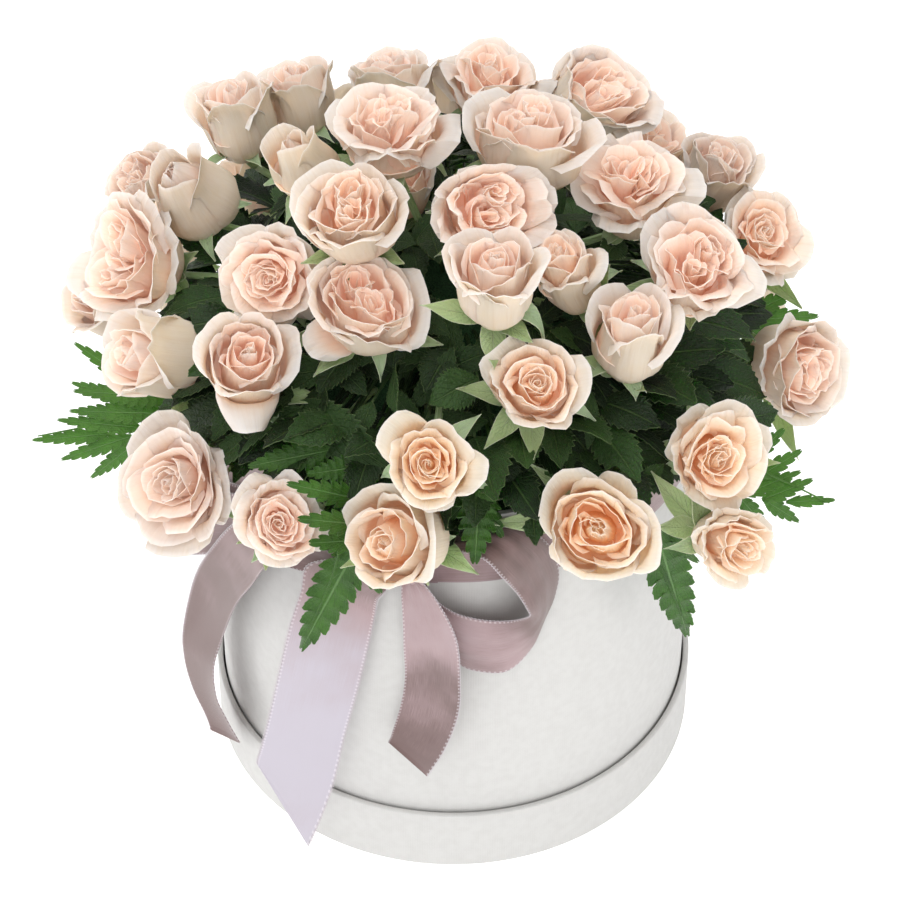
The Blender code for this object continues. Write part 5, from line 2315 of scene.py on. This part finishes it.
FRONDS = (
    Frond(
        "fern_left",
        (((197, 376), 0.0260), ((150, 418), 0.0330), ((92, 426), 0.0300), ((38, 436), 0.0280)),
        (
            Pinna((176, 398), 0.0290, (75, 391), 0.0290, 0.0115, 11, True),
            Pinna((170, 414), 0.0320, (71, 411), 0.0310, 0.0110, 11, True),
            Pinna((142, 428), 0.0330, (59, 420), 0.0310, 0.0088, 8, True),
            Pinna((110, 434), 0.0305, (34, 440), 0.0280, 0.0078, 7, True),
            Pinna((132, 436), 0.0330, (63, 459), 0.0310, 0.0088, 7, True),
            Pinna((148, 434), 0.0340, (92, 477), 0.0330, 0.0095, 8, True),
            Pinna((180, 384), 0.0240, (104, 372), 0.0240, 0.0095, 8, True),
            Pinna((150, 394), 0.0220, (76, 344), 0.0080, 0.0095, 8, True),
            Pinna((140, 404), 0.0240, (73, 383), 0.0140, 0.0088, 8, True),
        ),
        0.8,
    ),
    Frond(
        "fern_front",
        (
            ((356, 470), 0.1000),
            ((346, 520), 0.1200),
            ((336, 565), 0.1280),
            ((322, 602), 0.1290),
            ((304, 638), 0.1260),
        ),
        (
            Pinna((364, 500), 0.1120, (289, 484), 0.1300, 0.0120, 8, True),
            Pinna((358, 524), 0.1220, (300, 519), 0.1380, 0.0115, 6, True),
            Pinna((354, 541), 0.1240, (311, 543), 0.1360, 0.0110, 5, True),
            Pinna((356, 548), 0.1230, (302, 648), 0.1270, 0.0215, 8, False),
            Pinna((360, 552), 0.1225, (380, 592), 0.1235, 0.0110, 5, True),
            Pinna((332, 450), 0.0960, (250, 466), 0.1010, 0.0140, 9, True),
            Pinna((364, 466), 0.1000, (308, 474), 0.1080, 0.0125, 8, True),
        ),
        0.26,
    ),
    Frond(
        "fern_low_right",
        (((628, 500), 0.0980), ((652, 548), 0.0980), ((672, 592), 0.0960), ((688, 630), 0.0850)),
        (
            Pinna((655, 528), 0.0985, (687, 635), 0.0850, 0.0215, 8, False),
            Pinna((654, 530), 0.0970, (697, 561), 0.0900, 0.0085, 4, False),
            Pinna((648, 520), 0.0985, (622, 560), 0.0960, 0.0100, 4, False),
        ),
        0.15,
    ),
    Frond(
        "fern_right",
        (((712, 415), 0.0420), ((762, 468), 0.0700), ((795, 486), 0.0680), ((829, 503), 0.0660)),
        (
            Pinna((752, 458), 0.0660, (783, 430), 0.0600, 0.0080, 4, True),
            Pinna((757, 478), 0.0690, (800, 451), 0.0640, 0.0085, 5, True),
            Pinna((742, 495), 0.0700, (799, 472), 0.0660, 0.0085, 6, True),
            Pinna((762, 500), 0.0700, (811, 480), 0.0660, 0.0085, 5, True),
            Pinna((786, 502), 0.0680, (833, 500), 0.0650, 0.0060, 4, True),
            Pinna((764, 500), 0.0700, (798, 521), 0.0680, 0.0075, 5, True),
            Pinna((740, 498), 0.0710, (767, 529), 0.0700, 0.0085, 5, True),
        ),
        0.75,
    ),
)
SPRIGS = (
    Frond(
        "fern_sprig_low",
        (((492, 452), 0.0950), ((482, 482), 0.1120), ((476, 520), 0.1240), ((474, 548), 0.1320)),
        (
            Pinna((480, 484), 0.1130, (475, 562), 0.1370, 0.0190, 7, False),
            Pinna((482, 486), 0.1080, (448, 520), 0.1180, 0.0110, 5, True),
            Pinna((480, 500), 0.1120, (502, 536), 0.1220, 0.0100, 5, True),
        ),
        0.10,
    ),
    Frond(
        "fern_sprig_top",
        (((700, 330), -0.0050), ((742, 318), -0.0200), ((786, 302), -0.0320)),
        (
            Pinna((748, 314), -0.0230, (791, 294), -0.0340, 0.0100, 5, True),
            Pinna((752, 320), -0.0220, (817, 316), -0.0340, 0.0100, 6, True),
            Pinna((744, 322), -0.0200, (786, 336), -0.0280, 0.0090, 5, True),
        ),
        1.0,
    ),
)


@dataclass
class FernBed:
    """The fern fronds, each of them a piece; those that have a CAD node replace it."""

    view: Viewpoint
    dome: Dome
    leaf: Material
    back_compass: float = 96.0
    back_rib: tuple[Pixel, ...] = ((0.112, 0.2195), (0.145, 0.206), (0.182, 0.190))
    back_breadth_share: float = 0.36
    back_tone: float = 0.5
    back_places: int = 9
    back_leaf: float = 0.034
    back_end_leaf: float = 0.026
    back_shrink: float = 0.09
    back_forward: float = 0.55
    back_droop: float = 0.12
    rib_rings: int = 28
    rib_sides: int = 6
    rib_steps: int = 8
    rib_radii: Span = (0.0011, 0.0003)
    root_depth: float = 0.006
    sharp: float = 45.0

    def build(self) -> None:
        """Builds the fronds that show and the one behind."""
        for frond in (*FRONDS, *SPRIGS):
            mesh = PieceMesh("tone")
            rib = [self.view.at_forward(pixel, forward) for pixel, forward in frond.rib]
            self._rib(mesh, rib, frond.tone)
            for index, pinna in enumerate(frond.pinnae):
                self._pinna(mesh, pinna, index, frond.tone)
            self._keep(mesh, frond.name, frond in FRONDS)
        self._behind()

    def _keep(self, mesh: PieceMesh, name: str, stands_for: bool) -> None:
        """Makes the piece, which stands for the fern node of its name where there is one."""
        hand_over(mesh.build(f"{name}_frond", self.leaf, self.sharp), name if stands_for else None)

    def _rib(self, mesh: PieceMesh, rib: list[Vector], tone: float) -> None:
        """Adds the frond's stalk and rib, from the foam to its tip.

        Args:
            mesh: The piece's mesh.
            rib: The rib's points.
            tone: How pale it is, from 0 to 1, as a young leaf is paler and as painted light and shade.
        """
        root = self.dome.crown_point(self.dome.outward(rib[0]), self.root_depth)
        line = even_run(smooth_run([root, *rib], self.rib_steps), self.rib_rings)
        mesh.add_tube(line, np.linspace(*self.rib_radii, self.rib_rings), self.rib_sides, tone=tone)

    def _pinna(self, mesh: PieceMesh, pinna: Pinna, index: int, tone: float) -> None:
        """Adds one side leaf where the photograph shows it.

        Args:
            mesh: The piece's mesh.
            pinna: The side leaf.
            index: Its number.
            tone: How pale it is, from 0 to 1, as a young leaf is paler and as painted light and shade.
        """
        Blade(
            self.view.at_forward(pinna.root, pinna.root_forward),
            self.view.at_forward(pinna.tip, pinna.tip_forward),
            self.view.to_viewer,
            pinna.breadth,
            outline=FERN_OUTLINE,
            edge=FERN_TEETH if pinna.fine else FERN_LOBES,
            teeth=pinna.lobes,
            arch=18,
            fold=10,
            wave=0.03,
            tone=tone,
            seed=index + 3,
            columns=9,
        ).add(mesh)

    def _behind(self) -> None:
        """Builds the frond behind, with its side leaves in pairs along its rib."""
        turn = math.radians(self.back_compass)
        out = Vector((math.cos(turn), math.sin(turn), 0.0))
        rib = [out * reach + UPWARD * height for reach, height in self.back_rib]
        mesh = PieceMesh("tone")
        self._rib(mesh, rib, self.back_tone)
        line = even_run(smooth_run(rib, self.rib_steps), self.back_places)
        across = out.cross(UPWARD)
        for index, place in enumerate(line[:-1]):
            size = self.back_leaf * (1 - self.back_shrink * index)
            for way in (-1, 1):
                aim = out * self.back_forward + across * way - UPWARD * self.back_droop
                self._behind_leaf(mesh, place, aim.normalized(), size, index)
        self._behind_leaf(mesh, line[-3], out, self.back_end_leaf, self.back_places)
        self._keep(mesh, "fern_back", True)

    def _behind_leaf(self, mesh: PieceMesh, place: np.ndarray, aim: Vector, size: float, index: int) -> None:
        """Adds one side leaf of the frond behind.

        Args:
            mesh: The piece's mesh.
            place: Where it starts.
            aim: The way it points.
            size: Its length.
            index: Its number.
        """
        Blade(
            place,
            place + np.array(aim) * size,
            UPWARD,
            size * self.back_breadth_share,
            outline=FERN_OUTLINE,
            edge=FERN_TEETH,
            teeth=6,
            arch=24,
            fold=10,
            tone=self.back_tone,
            seed=index,
        ).add(mesh)


# Ribbon
@dataclass(frozen=True)
class Strip:
    """A run of ribbon: both of its edges as seen, each point as (x, y, how far forward), and its painted
    sheen along it.
    """

    name: str
    left: tuple[Triple, ...]
    right: tuple[Triple, ...]
    light: Track
    bow: float
    pleats: float
    rests_on: tuple[str, ...]
    held: str
    stitched: tuple[bool, bool] = (True, True)


STRIPS = (
    Strip(
        "bow_loop_right",
        left=(
            (422, 546, 0.1110), (472, 530, 0.1110), (516, 526, 0.1080), (546, 543, 0.1050),
            (559, 571, 0.1030), (555, 598, 0.1035), (544, 620, 0.1050), (531, 647, 0.1070),
            (508, 670, 0.1090), (482, 672, 0.1100), (460, 664, 0.1105), (444, 640, 0.1110),
            (428, 610, 0.1120),
        ),
        right=(
            (422, 561, 0.1165), (456, 550, 0.1270), (484, 557, 0.1330), (503, 577, 0.1323),
            (516, 592, 0.1275), (526, 607, 0.1270), (531, 616, 0.1245), (521, 620, 0.1195),
            (502, 621, 0.1140), (478, 619, 0.1130), (457, 614, 0.1140), (442, 605, 0.1140),
            (421, 584, 0.1130),
        ),
        light=((0, 0.20), (0.15, 0.17), (0.32, 0.07), (0.5, 0.05), (0.62, 0.22), (0.8, 0.34), (1, 0.2)),
        bow=0.0012,
        pleats=0.0011,
        rests_on=("bow_knot", "ribbon_band"),
        held="folded",
    ),
    Strip(
        "bow_loop_left",
        left=(
            (386, 553, 0.1094), (352, 531, 0.1049), (320, 517, 0.0983), (290, 505, 0.0900),
            (260, 497, 0.0785), (232, 494, 0.0644), (182, 496, 0.0450), (156, 494, 0.0330),
            (151, 480, 0.0230), (166, 468, 0.0230), (196, 466, 0.0360), (232, 484, 0.0569),
            (260, 490, 0.0740), (290, 501, 0.0862), (320, 513, 0.0948), (352, 529, 0.1016),
            (386, 551, 0.1074),
        ),
        right=(
            (386, 574, 0.1094), (352, 582, 0.1046), (320, 573, 0.0978), (290, 564, 0.0891),
            (260, 557, 0.0769), (230, 553, 0.0634), (180, 555, 0.0455), (154, 553, 0.0350),
            (150, 540, 0.0250), (165, 528, 0.0230), (195, 526, 0.0360), (231, 544, 0.0538),
            (260, 551, 0.0724), (290, 560, 0.0853), (320, 569, 0.0943), (352, 580, 0.1013),
            (386, 572, 0.1074),
        ),
        light=((0, 0.1), (0.3, 0.12), (0.45, 0.2), (1, 0.1)),
        bow=0.0003,
        pleats=0.0,
        rests_on=("bow_knot", "ribbon_band"),
        held="folded",
    ),
    Strip(
        "ribbon_tail_centre",
        left=(
            (384, 574, 0.1146), (350, 560, 0.1140), (309, 565, 0.1110), (301, 592, 0.1100),
            (290, 626, 0.1100), (279, 674, 0.1100), (268, 722, 0.1110), (261, 748, 0.1125),
            (258, 758, 0.1135), (257, 764, 0.1140),
        ),
        right=(
            (386, 590, 0.1152), (382, 594, 0.1146), (377, 600, 0.1110), (374, 617, 0.1090),
            (368, 645, 0.1080), (357, 690, 0.1080), (344, 737, 0.1090), (334, 780, 0.1125),
            (322, 814, 0.1150), (308, 846, 0.1170),
        ),
        light=((0, 0.05), (0.2, 0.16), (0.36, 0.42), (0.54, 0.86), (0.76, 1.0), (1, 0.96)),
        bow=0.0006,
        pleats=0.0006,
        rests_on=("bow_knot", "box_wall"),
        held="hung",
    ),
    Strip(
        "ribbon_tail_right",
        left=(
            (402, 583, 0.1170), (402, 606, 0.1140), (404, 640, 0.1115), (405, 674, 0.1105),
            (400, 708, 0.1105), (392, 733, 0.1110), (388, 742, 0.1112),
        ),
        right=(
            (421, 580, 0.1180), (439, 603, 0.1230), (455, 639, 0.1290), (460, 675, 0.1280),
            (458, 712, 0.1263), (445, 748, 0.1240), (427, 776, 0.1180),
        ),
        light=((0, 0.14), (0.2, 0.38), (0.36, 0.37), (0.52, 0.15), (0.8, 0.06), (1, 0.1)),
        bow=0.0010,
        pleats=0.0008,
        stitched=(False, True),
        rests_on=("bow_knot", "box_wall"),
        held="hung",
    ),
    Strip(
        "ribbon_tail_left",
        left=(
            (386, 566, 0.1130), (332, 552, 0.1055), (278, 530, 0.0900), (242, 520, 0.0770),
            (212, 549, 0.0610), (194, 580, 0.0450), (183, 628, 0.0350), (185, 657, 0.0345),
            (194, 688, 0.0390), (204, 712, 0.0450), (211, 730, 0.0500),
        ),
        right=(
            (386, 580, 0.1135), (336, 578, 0.1070), (300, 570, 0.0990), (268, 566, 0.0970),
            (251, 586, 0.0850), (236, 606, 0.0718), (222, 640, 0.0583), (213, 668, 0.0590),
            (216, 696, 0.0630), (228, 720, 0.0670), (240, 743, 0.0650),
        ),
        light=((0, 0.10), (0.26, 0.12), (0.36, 0.08), (0.5, 0.02), (0.7, 0.0), (1, 0.03)),
        bow=0.0012,
        pleats=0.0004,
        stitched=(True, False),
        rests_on=("bow_knot",),
        held="hung",
    ),
)


@dataclass
class Bow:
    """The satin ribbon: band, knot, loops and tails."""

    view: Viewpoint
    satin: Material
    thread: Material
    ribbon_width: float = 0.035
    thickness: float = 0.0004
    columns: int = 19
    rows: int = 110
    gathered_over: float = 0.16
    flat_end: float = 0.02
    picot_pitch: float = 0.0016
    picot_reach: float = 0.0006
    picot_thread: float = 0.00022
    picot_steps: int = 4
    picot_root: float = 0.15
    pleat_rate: float = 9.5
    flutter_rate: float = 17.0
    flutter_share: float = 0.35
    band_low: float = 0.178
    band_high: float = 0.213
    band_radius: float = 0.10705
    band_gap: float = 0.0002
    band_lap: float = 0.0006
    band_turn: tuple[float, float] = (-math.pi / 2 - 0.16, 1.5 * math.pi - 0.06)
    band_shape: tuple[int, int] = (220, 13)
    band_ripples: tuple[Triple, ...] = ((0.00012, 23.0, 4.0), (0.0001, 9.0, -7.0))
    band_light: float = 0.25
    knot_centre: Triple = (-0.0190, -0.1126, 0.1930)
    knot_half: Triple = (0.0085, 0.0062, 0.0120)
    knot_shape: tuple[int, int] = (60, 15)
    knot_turns: float = 1.04
    knot_girth: float = 0.94
    knot_waist: float = 0.16
    knot_pleats: Span = (0.07, 11.0)
    knot_breadth: Span = (0.92, 0.05)
    knot_light: float = 0.3
    sharp: float = 60.0

    def build(self) -> None:
        """Builds every run of ribbon."""
        for strip in STRIPS:
            self._strip(strip)
        self._band()
        self._knot()

    def _satin(self, node: str, mesh: PieceMesh) -> Object:
        """Makes the satin piece that stands for a node.

        Args:
            node: The CAD node.
            mesh: The piece's mesh.

        Returns:
            The piece.
        """
        piece = mesh.build(f"{node}_satin", self.satin, self.sharp)
        hand_over(piece, node)
        return piece

    def _edge(self, points: tuple[Triple, ...]) -> np.ndarray:
        """A smooth run through an edge's points."""
        placed = [self.view.at_forward((x, y), forward) for x, y, forward in points]
        return smooth_run(placed, max(4, self.rows // (len(placed) - 1)))

    def _strip(self, strip: Strip) -> None:
        """Builds one run of ribbon with its stitched edges.

        Args:
            strip: The run.
        """
        left, right = self._edge(strip.left), self._edge(strip.right)
        u = np.linspace(0, 1, self.columns)[None, :, None]
        grid = self._curve(left[:, None] * (1 - u) + right[:, None] * u, strip)
        light = read_track(strip.light, np.linspace(0, 1, len(grid)))[:, None]
        run = distances(grid[:, self.columns // 2])[:, None]
        mesh = PieceMesh("light", "run")
        mesh.add_sheet(grid, self.thickness, light=light, run=run)
        edges = PieceMesh("light")
        for wanted, side, inner in zip(strip.stitched, (0, -1), (1, -2)):
            if wanted:
                self._picot(edges, grid[:, side], grid[:, side] - grid[:, inner])
        piece = self._satin(strip.name, mesh)
        stitches = edges.build(f"{strip.name}_stitches", self.thread, self.sharp)
        hand_over(stitches)

    def _curve(self, grid: np.ndarray, strip: Strip) -> np.ndarray:
        """Bows a run of ribbon across its width and gathers it in pleats towards the knot.

        Args:
            grid: The plain run's middle surface.
            strip: The run.

        Returns:
            The curved surface.
        """
        rows, columns = grid.shape[:2]
        u = np.linspace(-1, 1, columns)[None, :]
        v = np.linspace(0, 1, rows)[:, None]
        far_fade = np.exp(-(1 - v) / self.gathered_over) if strip.held == "folded" else 0.0
        fade = np.exp(-v / self.gathered_over) + far_fade
        ends = ease(v / self.flat_end) * ease((1 - v) / self.flat_end)
        offset = strip.bow * (1 - u**2) + strip.pleats * fade * np.cos(u * self.pleat_rate + 3 * v)
        offset = offset + self.flutter_share * strip.bow * np.sin(v * self.flutter_rate + u * 2.0)
        return grid + surface_normals(grid) * (offset * ends)[..., None]

    def _picot(self, mesh: PieceMesh, edge: np.ndarray, outward: np.ndarray) -> None:
        """Adds the looped thread along one edge.

        Args:
            mesh: The piece's mesh.
            edge: The edge's points.
            outward: The way out of the ribbon at each of them.
        """
        stops = distances(edge)
        loops = int(stops[-1] / self.picot_pitch)
        count = loops * self.picot_steps + 1
        wanted = np.linspace(0, stops[-1], count)
        reach = self.picot_reach * np.abs(np.sin(np.linspace(0, loops * math.pi, count)))
        away = unit_rows(resample(outward, stops, wanted)) * reach[:, None]
        radii = self.picot_thread * (self.picot_root + reach / self.picot_reach)
        mesh.add_tube(resample(edge, stops, wanted) + away, radii, 4, light=1.0)

    def _band(self) -> None:
        """Builds the band round the wall, its ends lapped behind the knot."""
        rows, columns = self.band_shape
        turn = np.linspace(*self.band_turn, rows)[:, None]
        u = np.linspace(0, 1, columns)[None, :]
        lap = np.linspace(0.0, self.band_lap, rows)[:, None]
        ripple = sum(high * np.sin(turn * along + u * across) for high, along, across in self.band_ripples)
        radius = self.band_radius + self.band_gap + lap + ripple
        height = self.band_high + (self.band_low - self.band_high) * u + 0 * turn
        grid = np.stack([radius * np.cos(turn), radius * np.sin(turn), height], -1)
        mesh = PieceMesh("light")
        mesh.add_sheet(grid, self.thickness, light=self.band_light)
        self._satin("ribbon_band", mesh)

    def _knot(self) -> None:
        """Builds the knot: ribbon drawn round the crossing in folds."""
        rows, columns = self.knot_shape
        turn = np.linspace(0, math.tau * self.knot_turns, rows)[:, None]
        u = np.linspace(-1, 1, columns)[None, :]
        x_half, y_half, z_half = self.knot_half
        (pleat, pleat_rate), (breadth, swing) = self.knot_pleats, self.knot_breadth
        pleats = pleat * np.cos(u * pleat_rate + turn)
        pinch = self.knot_girth * (1 - self.knot_waist * (1 - u**2) + pleats)
        x = x_half * u * (breadth + swing * np.sin(turn * 3)) + 0 * turn
        y, z = y_half * pinch * np.cos(turn), z_half * pinch * np.sin(turn)
        grid = np.array(self.knot_centre) + np.stack([x, y, z], -1)
        mesh = PieceMesh("light")
        mesh.add_sheet(grid[:, ::-1], self.thickness, light=self.knot_light)
        self._satin("bow_knot", mesh)


# Box
@dataclass(frozen=True)
class Ring:
    """A ring of board for a CAD node: its radius, its lower and upper edge, and its edges' rounding."""

    node: str
    radius: float
    low: float
    high: float
    thickness: float
    rounding: float


@dataclass
class HatBox:
    """The wall and the lid's rim: rings of board wrapped in paper, with softly rounded edges."""

    board: Material
    wall: Ring = Ring("box_wall", 0.1065, 0.0028, 0.215, 0.0025, 0.0005)
    rim: Ring = Ring("lid_rim", 0.110, 0.0, 0.0335, 0.0027, 0.0010)
    sides: int = 240
    bevel_segments: int = 4
    bevel_from: float = 60.0
    smooth_below: float = 30.0

    def build(self) -> None:
        """Builds both rings."""
        self._ring(self.wall)
        self._ring(self.rim)

    def _ring(self, ring: Ring) -> None:
        """Builds one ring: an open cylinder, thickened inwards, its edges bevelled.

        Args:
            ring: The ring.
        """
        bpy.ops.object.select_all(action="DESELECT")
        bpy.ops.mesh.primitive_cylinder_add(
            vertices=self.sides,
            radius=ring.radius,
            depth=ring.high - ring.low,
            end_fill_type="NOTHING",
            location=(0, 0, (ring.low + ring.high) / 2),
        )
        paper = bpy.context.object
        paper.name = f"{ring.node}_paper"
        wall = paper.modifiers.new("board", "SOLIDIFY")
        wall.thickness, wall.offset, wall.use_even_offset = ring.thickness, -1.0, True
        bevel = paper.modifiers.new("edges", "BEVEL")
        bevel.width, bevel.segments = ring.rounding, self.bevel_segments
        bevel.limit_method, bevel.angle_limit = "ANGLE", math.radians(self.bevel_from)
        for modifier in ("board", "edges"):
            bpy.ops.object.modifier_apply(modifier=modifier)
        bpy.ops.object.transform_apply(location=True, rotation=True, scale=True)
        bpy.ops.object.shade_smooth_by_angle(angle=math.radians(self.smooth_below))
        paper.data.materials.clear()
        paper.data.materials.append(self.board)
        hand_over(paper, ring.node)


def dress_node(name: str, material: Material) -> None:
    """Gives a CAD node that stays a better material."""
    for slot in bpy.data.objects[name].material_slots:
        slot.material = material


# Stage
@dataclass(frozen=True)
class SoftLight:
    """A square soft light: its name, place, side and power."""

    name: str
    place: Triple
    size: float
    power: float


SOFT_LIGHTS = (
    SoftLight("key", (-0.5, -0.4, 2.5), 1.6, 18.0),
    SoftLight("front", (-0.2, -1.78, 1.62), 1.8, 12.5),
    SoftLight("low", (-0.5, -2.0, 0.62), 1.1, 4.5),
    SoftLight("left", (-1.8, 0.3, 0.45), 0.8, 9.0),
    SoftLight("right", (1.8, -0.9, 0.50), 0.9, 5.5),
    SoftLight("back", (0.3, 1.4, 2.0), 1.6, 16.0),
)


@dataclass
class Studio:
    """Floor, soft lights and the camera at the photograph's viewpoint."""

    view: Viewpoint
    white: tuple[float, float, float, float] = (1.0, 1.0, 1.0, 1.0)
    pale: tuple[float, float, float, float] = (0.96, 0.96, 0.96, 1.0)
    floor_size: float = 8.0
    floor_height: float = -0.0005
    floor_glow: float = 0.42
    sky_strength: float = 0.50
    looked_at: Triple = (0.0, 0.0, 0.2)
    sensor_width: float = 36.0

    def build(self) -> None:
        """Builds the floor, the lights and the camera."""
        self._floor()
        for light in SOFT_LIGHTS:
            self._light(light)
        self._sky()
        self._camera()

    def _floor(self) -> None:
        """Builds the pale floor that the box stands on."""
        bpy.ops.object.select_all(action="DESELECT")
        bpy.ops.mesh.primitive_plane_add(size=self.floor_size, location=(0, 0, self.floor_height))
        floor = bpy.context.object
        floor.name = "studio_floor"
        material, nodes, shader = new_material("pale_floor")
        glow = {"Emission Color": self.white, "Emission Strength": self.floor_glow}
        nodes.fill(shader, {"Base Color": self.pale, "Roughness": 0.9, **glow})
        floor.data.materials.append(material)

    def _sky(self) -> None:
        """Lights the scene evenly from all round, and keeps the colours as they are."""
        world = bpy.data.worlds.new("studio")
        world.use_nodes = True
        background = world.node_tree.nodes["Background"]
        Nodes(world.node_tree).fill(background, {"Color": self.white, "Strength": self.sky_strength})
        bpy.context.scene.world = world
        bpy.context.scene.view_settings.view_transform = "Standard"

    def _aim(self, name: str, data: ID, place: Vector, direction: Vector) -> Object:
        """Puts a light or the camera at a place, turned in a direction.

        Args:
            name: Its name.
            data: The light or the camera.
            place: Where it stands.
            direction: The way it looks.

        Returns:
            The new object.
        """
        obj = bpy.data.objects.new(name, data)
        obj.location = place
        obj.rotation_euler = direction.to_track_quat("-Z", "Y").to_euler()
        bpy.context.scene.collection.objects.link(obj)
        return obj

    def _light(self, light: SoftLight) -> None:
        """Builds a soft light that looks at the bouquet.

        Args:
            light: The light.
        """
        lamp = bpy.data.lights.new(light.name, "AREA")
        lamp.size, lamp.energy = light.size, light.power
        place = Vector(light.place)
        self._aim(light.name, lamp, place, Vector(self.looked_at) - place)

    def _camera(self) -> None:
        """Builds the camera at the photograph's viewpoint."""
        camera = bpy.data.cameras.new("photo_camera")
        camera.sensor_width = self.sensor_width
        camera.lens = self.view.focal_pixels / self.view.frame_pixels * self.sensor_width
        aimed = self._aim(camera.name, camera, self.view.eye, -self.view.to_viewer)
        bpy.context.scene.camera = aimed


def main() -> None:
    """Builds the looks over the CAD frame."""
    logging.basicConfig(level=logging.INFO, format="%(message)s")
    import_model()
    view, dome = Viewpoint(), Dome()
    Studio(view).build()
    shared = SharedEffects()
    finishes = (PetalFinish(), SEPAL_GREEN, ROSE_LEAF, FERN_LEAF, MAUVE_SATIN, SELVEDGE_THREAD, BoardFinish())
    petal, sepal, leaf, fern, satin, thread, board = (finish.make(shared) for finish in finishes)
    HatBox(board).build()
    dress_node("box_base", board)
    dress_node("lid_top", board)
    dress_node("film_liner", FilmFinish().make(shared))
    dress_node("foam_upper", FoamFinish("wet_foam", (0.035, 0.11, 0.035), (0.012, 0.045, 0.015)).make(shared))
    dress_node("foam_lower", FoamFinish("dry_foam", (0.10, 0.20, 0.10), (0.05, 0.11, 0.05)).make(shared))
    garden = RoseGarden(view, dome, petal, sepal)
    garden.build()
    Foliage(view, dome, leaf, garden.blooms).build()
    FernBed(view, dome, fern).build()
    Bow(view, satin, thread).build()


if __name__ == "__main__":
    main()
